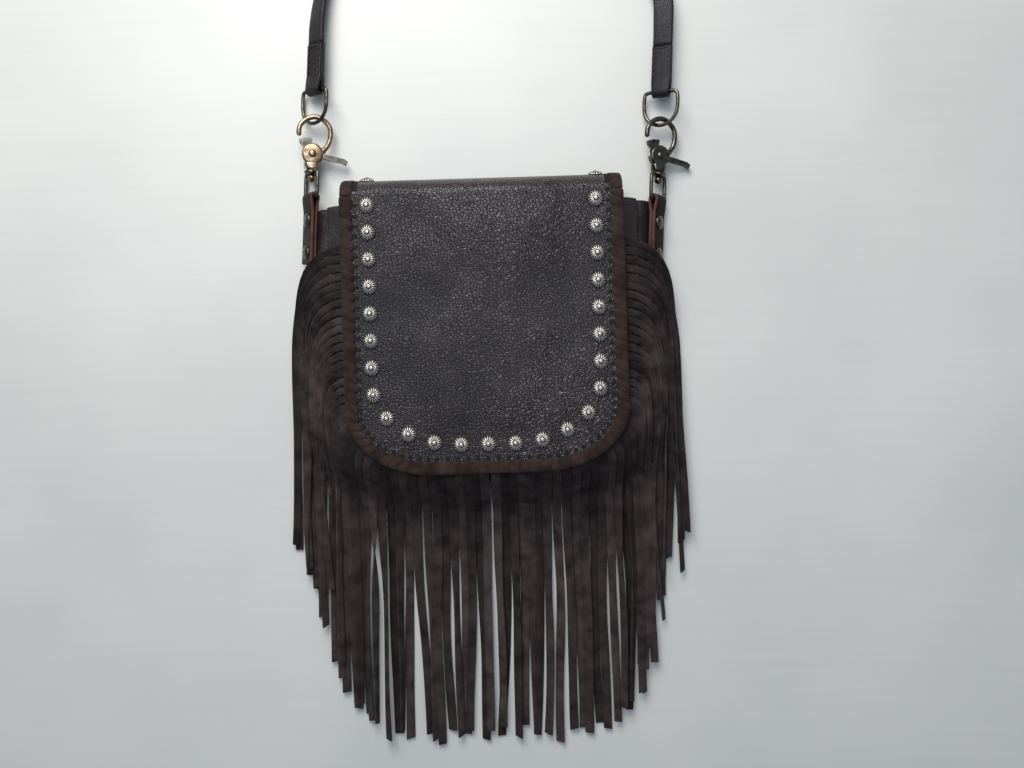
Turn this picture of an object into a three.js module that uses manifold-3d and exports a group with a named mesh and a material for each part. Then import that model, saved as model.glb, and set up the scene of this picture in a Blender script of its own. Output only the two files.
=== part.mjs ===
// Fringed crossbody bag of pebbled leather and suede, lying on its back.
// Millimetres. X runs across the bag, Y up towards the strap, Z up from the surface it lies on.
import * as THREE from 'three';
import { mergeVertices } from 'three/addons/utils/BufferGeometryUtils.js';
import Module from 'manifold-3d';

// Leather and seats
const leatherThickness = 1.8;
const gussetLeather = 1.5;
const suedeThickness = 1.2;
const touchGap = 0.3;

// Body
const panelHalfWidth = 85.5;
const bagDepth = 34;
const closureGap = 3.5;
const panelBottomY = -87;
const frontTopY = 58;
const frontTopDip = 5;
const cornerAcross = 52;
const cornerUp = 38;
const gussetTopY = 77;
const gussetBulge = 21.5;
const bottomBulgeShare = 0.45;
const seamAllowance = 5;

// Flap and the fold over the top edge
const foldY = 81;
const foldReach = 12;
const hingeGap = 0.5;
const flapBottomY = -89.5;

// Suede lacing whipped over the flap's edge
const stitchPitch = 6.2;
const laceReach = 7;
const laceThickness = 1.3;
const stitchSlant = 1.8;
const laceEndDegrees = -55;

// Ray studs
const studRadius = 4.9;
const studHeight = 2.4;
const studRays = 10;
const studInset = 15.7;
const studBottomInset = 17;
const studCount = 25;
const firstStudY = 75;
const foldStudInset = 14;
const foldStudDegrees = 12;

// Magnetic snap
const magnetRadius = 8;
const magnetY = -40;
const magnetThickness = 1.45;

// Fringe
const strandGap = 1.8;
const strandRest = 1;
const strandLayer = 2;
const strandPitch = 5.4;
const fringeTopY = 52;
const headerWidth = 7;
const longestStrand = 206;
const shortestStrand = 174;
const sideThrow = 38;
const cornerThrow = 8.8;
const hangPitch = 1.5;
const strandShares = [0.03, 0.09, 0.18, 0.32, 0.6, 1];

// Snap hooks, measured from the trigger's rivet
const leftHook = { x: -107.5, y: 114.1, hookTilt: 10, ringTilt: -37 };
const rightHook = { x: 113.7, y: 106.1, hookTilt: 20, ringTilt: -28 };
const hookHeight = 10.5;
const hookLean = -3.7;
const bowWire = 1.6;
const bowHalfWidth = 9.9;
const bowTop = 24;
const bowTipY = 11.2;
const cheekRadius = 6.6;
const cheekThickness = 1.1;
const triggerThickness = 2.6;
const hubRadius = 5;
const leverLength = 22;
const leverDegrees = -10;
const rivetRadius = 1.45;
const rivetHeadRadius = 2.5;
const postRadius = 1.6;
const postBallRadius = 2.7;
const springThickness = 0.5;

// Swivel eye, in the same frame
const eyeTilt = 55;
const eyeWire = 1.2;
const collarRadius = 4.8;
const collarTopY = -10.3;
const collarThickness = 2.4;
const eyeBarY = -28;
const tabWidth = 14;

// D-ring and the folded end of the strap
const ringWire = 1.2;
const ringHalfWidth = 11.05;
const ringBarY = 41.1;
const ringBottomY = 19.9;
const ringDrop = 1;
const strapWidth = 12.7;
const strapThickness = 3;
const strapFoldThickness = 4.2;
const strapFoldEndY = 70;

// Strap: one flat leather strap. Most of it lies in a coil past the hooks, as a doubled spiral.
const coilCentre = [8, 318];
const coilInner = 66;
const coilOuter = 78;
const coilLow = 0.4;
const coilHigh = 13.1;

// Tabs riveted to the gusset
const tabThickness = 2;
const tabLength = 42;
const tabRivetRadius = 4.6;
const tabRivetDrops = [14.5, 35];
const tabRivetHeight = 1.8;

const wasm = await Module();
wasm.setup();

const bag = new THREE.Group();
const radians = THREE.MathUtils.degToRad;

// Materials

function material(color, roughness, metalness) {
  return new THREE.MeshStandardMaterial({ color, roughness, metalness });
}

const leather = () => material('#2b2426', 0.5, 0);
const gussetFinish = () => material('#241d1f', 0.4, 0);
const suede = () => material('#3a2c28', 0.95, 0);
const laceSuede = () => material('#4a3430', 0.95, 0);
const studMetal = () => material('#a8a69c', 0.35, 1);
const agedMetal = () => material('#5c554b', 0.35, 1);
const brassMetal = () => material('#8a6f50', 0.35, 1);

// Geometry helpers

function closedMesh(geometry) {
  const plain = geometry.clone();
  plain.deleteAttribute('normal');
  plain.deleteAttribute('uv');
  return mergeVertices(plain, 1e-4);
}

function toSolid(geometry) {
  const merged = closedMesh(geometry);
  const mesh = new wasm.Mesh({
    numProp: 3,
    vertProperties: new Float32Array(merged.attributes.position.array),
    triVerts: new Uint32Array(merged.index.array),
  });
  return new wasm.Manifold(mesh);
}

function toGeometry(solid) {
  const mesh = solid.getMesh();
  const geometry = new THREE.BufferGeometry();
  geometry.setAttribute('position', new THREE.BufferAttribute(mesh.vertProperties, 3));
  geometry.setIndex(new THREE.BufferAttribute(mesh.triVerts, 1));
  return geometry;
}

function join(...geometries) {
  return toGeometry(geometries.map(toSolid).reduce((whole, next) => whole.add(next)));
}

function cut(geometry, ...tools) {
  return toGeometry(tools.map(toSolid).reduce((whole, tool) => whole.subtract(tool), toSolid(geometry)));
}

function keepInside(geometry, limits) {
  return toGeometry(toSolid(geometry).intersect(toSolid(limits)));
}

function signedVolume(points, triangles) {
  let volume = 0;
  for (let i = 0; i < triangles.length; i += 3) {
    const [a, b, c] = [points[triangles[i]], points[triangles[i + 1]], points[triangles[i + 2]]];
    volume += a.dot(b.clone().cross(c)) / 6;
  }
  return volume;
}

// A closed skin over rings of points that all have the same count, with a flat cap at each end.
function loft(rings, sectionOutline) {
  const count = rings[0].length;
  const points = rings.flat();
  const triangles = [];
  for (let r = 0; r + 1 < rings.length; r += 1) {
    for (let i = 0; i < count; i += 1) {
      const next = (i + 1) % count;
      const [a, b] = [r * count + i, r * count + next];
      triangles.push(a, b, a + count, b, b + count, a + count);
    }
  }
  const cap = THREE.ShapeUtils.triangulateShape(sectionOutline, []);
  const last = (rings.length - 1) * count;
  const turn = THREE.ShapeUtils.isClockWise(sectionOutline) ? -1 : 1;
  for (const face of cap) {
    const [a, b, c] = turn > 0 ? face : [face[0], face[2], face[1]];
    triangles.push(a, c, b, last + a, last + b, last + c);
  }
  if (signedVolume(points, triangles) < 0) {
    for (let i = 0; i < triangles.length; i += 3) {
      [triangles[i + 1], triangles[i + 2]] = [triangles[i + 2], triangles[i + 1]];
    }
  }
  const geometry = new THREE.BufferGeometry();
  geometry.setAttribute('position', new THREE.Float32BufferAttribute(points.flatMap((p) => p.toArray()), 3));
  geometry.setIndex(triangles);
  return geometry;
}

function slab(shape, lowZ, highZ, curveSegments = 12) {
  const geometry = new THREE.ExtrudeGeometry(shape, { depth: highZ - lowZ, bevelEnabled: false, curveSegments });
  return geometry.translate(0, 0, lowZ);
}

function block(lowX, highX, lowY, highY, lowZ, highZ) {
  const geometry = new THREE.BoxGeometry(highX - lowX, highY - lowY, highZ - lowZ);
  return geometry.translate((lowX + highX) / 2, (lowY + highY) / 2, (lowZ + highZ) / 2);
}

function rodAlongY(radius, lowY, highY, sides = 12) {
  return new THREE.CylinderGeometry(radius, radius, highY - lowY, sides).translate(0, (lowY + highY) / 2, 0);
}

function rodAlongZ(radius, lowZ, highZ, sides = 16) {
  const rod = new THREE.CylinderGeometry(radius, radius, highZ - lowZ, sides).rotateX(Math.PI / 2);
  return rod.translate(0, 0, (lowZ + highZ) / 2);
}

function circleShape(radius, sides) {
  const points = [];
  for (let i = 0; i < sides; i += 1) {
    const angle = (2 * Math.PI * i) / sides;
    points.push(new THREE.Vector2(radius * Math.cos(angle), radius * Math.sin(angle)));
  }
  return new THREE.Shape(points);
}

function place(name, geometry, finish, parent = bag) {
  const mesh = new THREE.Mesh(geometry, finish);
  mesh.name = name;
  parent.add(mesh);
  return mesh;
}

// Outlines

// The edge of a panel from its top left corner, down, round the bottom and up again.
function panelEdge(halfWidth, topY, bottomY) {
  const path = new THREE.Path();
  path.moveTo(-halfWidth, topY);
  path.lineTo(-halfWidth, bottomY + cornerUp);
  path.absellipse(-halfWidth + cornerAcross, bottomY + cornerUp, cornerAcross, cornerUp, Math.PI, 1.5 * Math.PI);
  path.lineTo(halfWidth - cornerAcross, bottomY);
  path.absellipse(halfWidth - cornerAcross, bottomY + cornerUp, cornerAcross, cornerUp, 1.5 * Math.PI, 2 * Math.PI);
  path.lineTo(halfWidth, topY);
  return path;
}

function panelShape(halfWidth, topY, bottomY, topDip = 0) {
  const shape = new THREE.Shape();
  shape.curves = panelEdge(halfWidth, topY, bottomY).curves;
  shape.currentPoint.set(halfWidth, topY);
  shape.quadraticCurveTo(0, topY - 2 * topDip, -halfWidth, topY);
  return shape;
}

const flapUnderside = bagDepth + closureGap;
const flapTop = flapUnderside + leatherThickness;
const flapMiddle = (flapUnderside + flapTop) / 2;
const foldCentreZ = flapTop / 2;

// Body panels

function backPanel() {
  const profile = new THREE.Shape();
  profile.moveTo(panelBottomY, 0);
  profile.lineTo(foldY, 0);
  profile.absellipse(foldY, foldCentreZ, foldReach, foldCentreZ, -Math.PI / 2, Math.PI / 2);
  profile.lineTo(foldY, flapTop - leatherThickness);
  const innerReach = foldReach - leatherThickness;
  const innerRise = foldCentreZ - leatherThickness;
  profile.absellipse(foldY, foldCentreZ, innerReach, innerRise, Math.PI / 2, -Math.PI / 2, true);
  profile.lineTo(panelBottomY, leatherThickness);
  const folded = new THREE.ExtrudeGeometry(profile, { depth: 2 * panelHalfWidth, bevelEnabled: false, curveSegments: 16 });
  const [acrossBag, upBag, offSurface] = [[1, 0, 0], [0, 1, 0], [0, 0, 1]].map((v) => new THREE.Vector3(...v));
  folded.applyMatrix4(new THREE.Matrix4().makeBasis(upBag, offSurface, acrossBag));
  folded.translate(-panelHalfWidth, 0, 0);
  const outline = slab(panelShape(panelHalfWidth + 1, foldY + 2 * foldReach, panelBottomY), -1, flapTop + 1);
  const trimmed = slab(panelShape(panelHalfWidth, foldY + 2 * foldReach, panelBottomY), -1, flapTop + 1);
  return keepInside(keepInside(folded, outline), trimmed);
}

function frontPanel() {
  const shape = panelShape(panelHalfWidth, frontTopY, panelBottomY, frontTopDip);
  return slab(shape, bagDepth - leatherThickness, bagDepth);
}

function flapPanel() {
  return slab(panelShape(panelHalfWidth, foldY - hingeGap, flapBottomY), flapUnderside, flapTop);
}

// Gusset: one strip round the sides and bottom, pleated outwards.

const headerTop = bagDepth - leatherThickness - touchGap;
const headerBottom = headerTop - suedeThickness;
const gussetFlangeZ = headerBottom - touchGap - gussetLeather / 2;
const gussetBackZ = leatherThickness + touchGap + gussetLeather / 2;

// The middle of the leather across the strip: how far out from the seam, and how high.
const gussetProfile = [
  [-seamAllowance, gussetFlangeZ],
  [1, gussetFlangeZ],
  [0.33 * gussetBulge, 27],
  [0.5 * gussetBulge, 22.5],
  [0.43 * gussetBulge, 18.5],
  [0.72 * gussetBulge, 17],
  [gussetBulge, 12],
  [0.95 * gussetBulge, 6.5],
  [0.55 * gussetBulge, gussetBackZ + 0.4],
  [-seamAllowance, gussetBackZ],
];

// The two sides of a strip of leather that follows a bent middle line.
function thicken(middle, thickness) {
  const outer = [];
  const inner = [];
  middle.forEach(([a, b], i) => {
    const before = middle[Math.max(0, i - 1)];
    const after = middle[Math.min(middle.length - 1, i + 1)];
    const along = new THREE.Vector2(after[0] - before[0], after[1] - before[1]).normalize();
    outer.push([a + (along.y * thickness) / 2, b - (along.x * thickness) / 2]);
    inner.push([a - (along.y * thickness) / 2, b + (along.x * thickness) / 2]);
  });
  return [...outer, ...inner.reverse()];
}

// Position, inward tangent frame and length share at a point of an edge in the XY plane.
function edgeFrame(path, share) {
  const at = path.getPoint(share);
  const along = path.getTangent(share);
  return { at, along, out: new THREE.Vector2(along.y, -along.x) };
}

// Behind a tab the gusset lies flat against it, from the tab's foot upwards.
function tabSeat(at) {
  const hook = at.x < 0 ? leftHook : rightHook;
  const centre = Math.abs(alongHook(hook, at.y - hook.y).x) - panelHalfWidth;
  const tilt = radians(eyeTilt);
  const loopRise = 1.5 * smoothStep((at.y - hook.y - eyeBarY + 9) / 8);
  const back = tabThickness + touchGap + 0.35 + loopRise + gussetLeather / 2;
  const alongTab = (t) => [
    centre - back * Math.sin(tilt) - t * Math.cos(tilt),
    hookHeight - back * Math.cos(tilt) + t * Math.sin(tilt),
  ];
  return [alongTab(tabWidth / 2 - 0.5), alongTab(-2)];
}

function gussetMiddle(at, out) {
  const swell = bottomBulgeShare + (1 - bottomBulgeShare) * Math.abs(out.x) ** 1.5;
  const middle = gussetProfile.map(([d, z]) => [d > 1 ? d * swell : d, z]);
  const hook = at.x < 0 ? leftHook : rightHook;
  const footY = hook.y + eyeBarY - tabLength;
  const share = smoothStep((at.y - footY + 28) / 14);
  const [seatTop, seatFoot] = tabSeat(at);
  const target = { 5: [0.8 * seatTop[0], gussetProfile[5][1]], 6: seatTop, 7: seatFoot };
  return middle.map(([d, z], i) => {
    if (!target[i]) return [d, z];
    return [d + (target[i][0] - d) * share, z + (target[i][1] - z) * share];
  });
}

function gusset() {
  const edge = panelEdge(panelHalfWidth, gussetTopY, panelBottomY);
  const steps = 24;
  const rings = [];
  for (let i = 0; i <= steps; i += 1) {
    const { at, out } = edgeFrame(edge, i / steps);
    const middle = gussetMiddle(at, out);
    rings.push(thicken(middle, gussetLeather).map(([d, z]) => new THREE.Vector3(at.x + out.x * d, at.y + out.y * d, z)));
  }
  const outline = thicken(gussetProfile, gussetLeather).map(([d, z]) => new THREE.Vector2(d, z));
  return loft(rings, outline);
}

// Lacing: a suede lace whipped round the leather's edge, stitch beside stitch.

const laceSlot = leatherThickness / 2 + touchGap;
const laceTop = laceSlot + laceThickness;
const laceSection = [
  [-laceReach, laceSlot],
  [-laceReach + 0.6, laceTop],
  [0, 0.95 * laceTop],
  [touchGap + laceThickness, 0],
  [0, -0.95 * laceTop],
  [-laceReach + 0.6, -laceTop],
  [-laceReach, -laceSlot],
  [touchGap, -laceSlot],
  [touchGap, laceSlot],
];

function lacing(frameAt, length) {
  const stitches = Math.round(length / stitchPitch);
  const steps = 2 * stitches;
  const rings = [];
  for (let i = 0; i <= steps; i += 1) {
    const { at, along, out, up } = frameAt(i / steps);
    const between = i % 2 === 0;
    const endFade = Math.min(1, Math.min(i, steps - i) / 2);
    rings.push(laceSection.map(([a, b]) => {
      const inSlot = Math.abs(b) <= laceSlot && a > -laceReach;
      const shrinkA = between && !inSlot ? (a < -1 ? 1 : -0.4) : 0;
      const shrinkB = between && Math.abs(b) > laceSlot + 0.3 ? -Math.sign(b) * 0.45 : 0;
      const slant = endFade * stitchSlant * Math.sign(b) * Math.max(0, -a / laceReach);
      return at.clone().addScaledVector(out, a + shrinkA).addScaledVector(up, b + shrinkB).addScaledVector(along, slant);
    }));
  }
  return loft(rings, laceSection.map(([a, b]) => new THREE.Vector2(a, b)));
}

function flapLacing() {
  const edge = panelEdge(panelHalfWidth, foldY - hingeGap, flapBottomY);
  const up = new THREE.Vector3(0, 0, 1);
  return lacing((share) => {
    const frame = edgeFrame(edge, share);
    return {
      at: new THREE.Vector3(frame.at.x, frame.at.y, flapMiddle),
      along: new THREE.Vector3(frame.along.x, frame.along.y, 0),
      out: new THREE.Vector3(frame.out.x, frame.out.y, 0),
      up,
    };
  }, edge.getLength());
}

function foldMiddle(degrees) {
  const angle = radians(degrees);
  const reach = foldReach - leatherThickness / 2;
  const rise = foldCentreZ - leatherThickness / 2;
  const at = new THREE.Vector2(foldY + reach * Math.cos(angle), foldCentreZ + rise * Math.sin(angle));
  const out = new THREE.Vector2(Math.cos(angle) / reach, Math.sin(angle) / rise).normalize();
  return { at, out };
}

function foldLacing(side) {
  const start = 90;
  const length = 0.8 * (foldReach + foldCentreZ) * radians(start - laceEndDegrees);
  return lacing((share) => {
    const { at, out } = foldMiddle(start + (laceEndDegrees - start) * share);
    return {
      at: new THREE.Vector3(side * panelHalfWidth, at.x, at.y),
      along: new THREE.Vector3(0, out.y, -out.x),
      out: new THREE.Vector3(side, 0, 0),
      up: new THREE.Vector3(0, out.x, out.y),
    };
  }, length);
}

// Ray studs: low fluted domes.

function stud() {
  const profile = [
    [0, 0],
    [studRadius, 0],
    [0.7 * studRadius, 0.85 * studHeight],
    [0, studHeight * 1.04],
  ];
  const dome = new THREE.LatheGeometry(profile.map(([r, h]) => new THREE.Vector2(r, h)), studRays);
  return dome.rotateX(Math.PI / 2);
}

function addStud(name, at, facing) {
  const mesh = place(name, stud(), studMetal());
  mesh.position.copy(at);
  mesh.quaternion.setFromUnitVectors(new THREE.Vector3(0, 0, 1), facing);
}

function addStuds() {
  const row = new THREE.Path();
  const edge = panelEdge(panelHalfWidth - studInset, firstStudY, flapBottomY + studBottomInset);
  row.curves = edge.curves;
  const up = new THREE.Vector3(0, 0, 1);
  for (let i = 0; i < studCount; i += 1) {
    const at = row.getPoint(i / (studCount - 1));
    addStud(`stud_${i + 1}`, new THREE.Vector3(at.x, at.y, flapTop + touchGap), up);
  }
  for (const [name, side] of [['left', -1], ['right', 1]]) {
    const { at, out } = foldMiddle(foldStudDegrees);
    const seat = at.clone().addScaledVector(out, leatherThickness / 2 + touchGap);
    const facing = new THREE.Vector3(0, out.x, out.y);
    addStud(`stud_fold_${name}`, new THREE.Vector3(side * (panelHalfWidth - foldStudInset), seat.x, seat.y), facing);
  }
}

// Magnetic snap between the flap and the front panel

function magnetHalf(lowZ) {
  return rodAlongZ(magnetRadius, lowZ, lowZ + magnetThickness, 20).translate(0, magnetY, 0);
}

// Fringe: one suede strip for each side, sewn under the front panel's edge and cut into strands.

function smoothStep(x) {
  const t = Math.min(1, Math.max(0, x));
  return t * t * (3 - 2 * t);
}

// The height of a strand over the gusset and down to the surface, by length from the seam.
function strandHeight(run, drape, rest) {
  const start = (headerTop + headerBottom) / 2;
  return rest + (start - rest) * (1 - smoothStep((run - 6) / drape));
}

// How high a strand lies over the gusset, by its distance from the seam.
const drapeOverGusset = [[0, 31.3], [7, 31.2], [11, 28.4], [15, 25.8], [20, 21.6], [25, 16.4], [30, 10.6], [36, 5], [44, 1]];

function heightBySeam(distance, rest) {
  const last = drapeOverGusset[drapeOverGusset.length - 1];
  if (distance >= last[0]) return rest;
  const next = drapeOverGusset.findIndex(([d]) => d > distance);
  const [d0, z0] = drapeOverGusset[next - 1];
  const [d1, z1] = drapeOverGusset[next];
  return Math.max(rest, z0 + ((z1 - z0) * (distance - d0)) / (d1 - d0));
}

const seamPoints = [];
{
  const seam = panelEdge(panelHalfWidth, fringeTopY + 40, panelBottomY);
  for (let i = 0; i <= 160; i += 1) {
    const { at, out } = edgeFrame(seam, i / 160);
    seamPoints.push({ at, swell: bottomBulgeShare + (1 - bottomBulgeShare) * Math.abs(out.x) ** 1.5 });
  }
}

function seamDistance(point) {
  let nearest = Infinity;
  let swell = 1;
  for (const seam of seamPoints) {
    const distance = seam.at.distanceTo(point);
    if (distance < nearest) {
      nearest = distance;
      swell = seam.swell;
    }
  }
  return nearest / (0.45 + 0.55 * swell);
}

// The way of one strand, seen from above: square out of the seam, then round and straight down the bag.
function strandWay(start, out, hangX) {
  const reach = Math.abs(hangX - start.x);
  const drop = 14 + 1.3 * reach;
  const turned = new THREE.Vector2(hangX, start.y - drop);
  const leaving = start.clone().addScaledVector(out, 6 + 0.6 * reach);
  const arriving = new THREE.Vector2(hangX, turned.y + 0.6 * drop);
  const way = new THREE.CurvePath();
  way.add(new THREE.CubicBezierCurve(start, leaving, arriving, turned));
  way.add(new THREE.LineCurve(turned, new THREE.Vector2(hangX, turned.y - longestStrand)));
  return { way, total: way.getLength(), bent: way.curves[0].getLength() };
}

// The four corners of a strand at each of its steps, from just past the seam to the tip.
function strandRings(start, out, hangX, layer, length, width, overTab) {
  const { way, total } = strandWay(start, out, hangX);
  const points = strandShares.map((share) => {
    const run = share * length;
    const place = way.getPoint(run / total);
    const overRivets = strandRest + overTab * (strandHeight(run, 64, strandRest) - strandRest);
    const height = Math.max(heightBySeam(seamDistance(place), strandRest), overRivets);
    return new THREE.Vector3(place.x, place.y, height + layer * strandLayer * smoothStep((run - 6) / 20));
  });
  const up = new THREE.Vector3(0, 0, 1);
  const corners = [[-1, -1], [1, -1], [1, 1], [-1, 1]];
  return points.map((point, i) => {
    const before = points[Math.max(0, i - 1)];
    const after = points[Math.min(points.length - 1, i + 1)];
    const along = after.clone().sub(before).normalize();
    const across = up.clone().cross(along).normalize();
    const lift = along.clone().cross(across);
    return corners.map(([a, b]) => point.clone().addScaledVector(across, (a * width) / 2)
      .addScaledVector(lift, (b * suedeThickness) / 2));
  });
}

// One suede strip, cut into strands: a heading sewn under the front panel, and strands that grow out of it.
function fringe(side) {
  const edge = panelEdge(panelHalfWidth, fringeTopY, panelBottomY);
  const halfLength = edge.getLength() / 2;
  const centreMargin = 0.6;
  const count = Math.round((halfLength - centreMargin) / strandPitch);
  const pitch = (halfLength - centreMargin) / count;
  const points = [];
  const triangles = [];
  const quad = (a, b, c, d) => triangles.push(a, b, c, a, c, d);
  const headerAt = (along) => {
    const { at, out } = edgeFrame(edge, along / (2 * halfLength));
    const first = points.length;
    for (const [d, z] of [[-headerWidth, headerBottom], [1, headerBottom], [1, headerTop], [-headerWidth, headerTop]]) {
      points.push(new THREE.Vector3(at.x + out.x * d, at.y + out.y * d, z));
    }
    return first;
  };
  const joinHeader = (a, b, outerToo) => {
    quad(a, a + 1, b + 1, b);
    if (outerToo) quad(a + 1, a + 2, b + 2, b + 1);
    quad(a + 2, a + 3, b + 3, b + 2);
    quad(a + 3, a, b, b + 3);
  };
  const growStrand = (a, b, rings) => {
    let ring = [a + 1, b + 1, b + 2, a + 2];
    for (const corners of rings) {
      const first = points.length;
      points.push(...corners);
      const next = [first, first + 1, first + 2, first + 3];
      for (let i = 0; i < 4; i += 1) {
        const j = (i + 1) % 4;
        quad(ring[i], next[i], next[j], ring[j]);
      }
      ring = next;
    }
    quad(ring[0], ring[3], ring[2], ring[1]);
  };
  let last = headerAt(0);
  let lastHang = -Infinity;
  quad(last, last + 3, last + 2, last + 1);
  for (let k = 0; k < count; k += 1) {
    const middle = (k + 0.5) * pitch;
    const left = headerAt(middle - (pitch - strandGap) / 2);
    const right = headerAt(middle + (pitch - strandGap) / 2);
    joinHeader(last, left, true);
    joinHeader(left, right, false);
    last = right;
    const share = k / (count - 1);
    const { at, out } = edgeFrame(edge, middle / (2 * halfLength));
    const onSide = middle < fringeTopY - panelBottomY - cornerUp;
    const fromTop = -panelHalfWidth - sideThrow + (hangPitch * middle) / pitch;
    const wanted = onSide ? fromTop : at.x + cornerThrow * out.x;
    const hangX = Math.max(lastHang + hangPitch, wanted);
    lastHang = hangX;
    const uneven = 3.5 * Math.sin(2.3 * k + (side < 0 ? 0 : 1.7)) + 2 * Math.sin(5.1 * k);
    const length = longestStrand + (shortestStrand - longestStrand) * share ** 0.6 + uneven;
    const overTab = 1 - smoothStep((k - 5) / 6);
    growStrand(left, right, strandRings(at, out, hangX, k % 3, length, pitch - strandGap, overTab));
  }
  const end = headerAt(halfLength - centreMargin);
  joinHeader(last, end, true);
  quad(end, end + 1, end + 2, end + 3);
  if (side > 0) points.forEach((point) => point.setX(-point.x));
  if (signedVolume(points, triangles) < 0) {
    for (let i = 0; i < triangles.length; i += 3) {
      [triangles[i + 1], triangles[i + 2]] = [triangles[i + 2], triangles[i + 1]];
    }
  }
  const geometry = new THREE.BufferGeometry();
  geometry.setAttribute('position', new THREE.Float32BufferAttribute(points.flatMap((p) => p.toArray()), 3));
  geometry.setIndex(triangles);
  return geometry;
}

// Snap hook pieces. In their own frame X is across, Y along the hook and the rivet is the origin.

function bowCurve() {
  const points = [
    [6.6, 2.6],
    [9.4, 6.4],
    [bowHalfWidth + 1, 12],
    [bowHalfWidth + 0.2, 18],
    [5.6, bowTop - 1.4],
    [1, bowTop],
    [-4, bowTop - 1.5],
    [-8, bowTop - 5.5],
    [-9, 14.5],
    [-8.7, bowTipY],
  ];
  return new THREE.CatmullRomCurve3(points.map(([x, y]) => new THREE.Vector3(x, y, 0)));
}

const cheekInner = triggerThickness / 2 + touchGap + 0.05;
const cheekOuter = cheekInner + cheekThickness;

function hookBody() {
  const bow = new THREE.ExtrudeGeometry(circleShape(bowWire, 7), {
    steps: 18, bevelEnabled: false, extrudePath: bowCurve(),
  });
  const topCheek = rodAlongZ(cheekRadius, cheekInner, cheekOuter, 18);
  const bottomCheek = rodAlongZ(cheekRadius, -cheekOuter, -cheekInner, 18);
  const neckTop = -(hubRadius + 0.6);
  const neckBottom = collarTopY + touchGap;
  const base = block(-4.2, 4.2, neckBottom, neckTop, -cheekOuter, cheekOuter);
  const bridge = block(5.4, 8, 2.2, 6.2, -cheekOuter, cheekOuter);
  const ballY = collarTopY - collarThickness - touchGap - 0.8 * postBallRadius;
  const post = rodAlongY(postRadius, ballY, neckBottom + 1, 10);
  const ball = new THREE.SphereGeometry(postBallRadius, 10, 6).translate(0, ballY, 0);
  const solid = join(bow, topCheek, bottomCheek, base, bridge, post, ball);
  return cut(solid, rodAlongZ(rivetRadius + touchGap, -cheekOuter - 1, cheekOuter + 1));
}

function trigger() {
  const gate = new THREE.Shape([
    [-1.5, 4.3],
    [-0.5, 9.2],
    [-0.9, 10.4],
    [-5.6, 9.9],
    [-8.8, 8.8],
    [-8.3, 6.6],
    [-6.4, 4.6],
    [-3.8, 2.2],
  ].map(([x, y]) => new THREE.Vector2(x, y)));
  const half = triggerThickness / 2;
  const hub = rodAlongZ(hubRadius, -half, half, 18);
  const lever = new THREE.Shape([
    [3, -1.6],
    [leverLength - 3, -1.3],
    [leverLength, -2],
    [leverLength + 0.6, 0.6],
    [leverLength - 2, 1.7],
    [3, 1.6],
  ].map(([x, y]) => new THREE.Vector2(x, y)));
  const arm = slab(lever, -half, half).rotateZ(radians(leverDegrees));
  const solid = join(hub, slab(gate, -half, half), arm);
  return cut(solid, rodAlongZ(rivetRadius + touchGap, -half - 1, half + 1));
}

function triggerRivet() {
  const seat = cheekOuter + touchGap;
  const profile = [
    [0, -seat - 1.2],
    [1.6, -seat - 0.9],
    [rivetHeadRadius, -seat],
    [rivetRadius, -seat],
    [rivetRadius, seat],
    [rivetHeadRadius, seat],
    [1.6, seat + 0.9],
    [0, seat + 1.2],
  ];
  const turned = new THREE.LatheGeometry(profile.map(([r, h]) => new THREE.Vector2(r, h)), 12);
  return turned.rotateX(Math.PI / 2);
}

function triggerSpring() {
  const middle = [[-4.75, -9.6], [-4.75, -5.5], [-5.75, -2.2], [-5.95, 0.4], [-6.0, 3.0]];
  const shape = new THREE.Shape(thicken(middle, springThickness).map(([x, y]) => new THREE.Vector2(x, y)));
  return slab(shape, -1.1, 1.1);
}

function eyeCurve() {
  const half = tabWidth / 2 + 0.8 + eyeWire;
  const top = collarTopY - collarThickness / 2;
  const corner = 2;
  const points = [
    [-half + corner, top],
    [half - corner, top],
    [half - 0.6, top - 0.6],
    [half, top - corner],
    [half, eyeBarY + corner],
    [half - 0.6, eyeBarY + 0.6],
    [half - corner, eyeBarY],
    [-half + corner, eyeBarY],
    [-half + 0.6, eyeBarY + 0.6],
    [-half, eyeBarY + corner],
    [-half, top - corner],
    [-half + 0.6, top - 0.6],
  ];
  return new THREE.CatmullRomCurve3(points.map(([x, y]) => new THREE.Vector3(x, y, 0)), true, 'centripetal');
}

function swivelEye() {
  const wire = new THREE.TubeGeometry(eyeCurve(), 28, eyeWire, 6, true);
  const collar = rodAlongY(collarRadius, collarTopY - collarThickness, collarTopY, 16);
  const hole = rodAlongY(postRadius + touchGap, collarTopY - collarThickness - 1, collarTopY + 1, 12);
  const ballY = collarTopY - collarThickness - touchGap - 0.8 * postBallRadius;
  const ballRoom = new THREE.SphereGeometry(postBallRadius + touchGap, 10, 6).translate(0, ballY, 0);
  return cut(join(wire, collar), hole, ballRoom);
}

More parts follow.
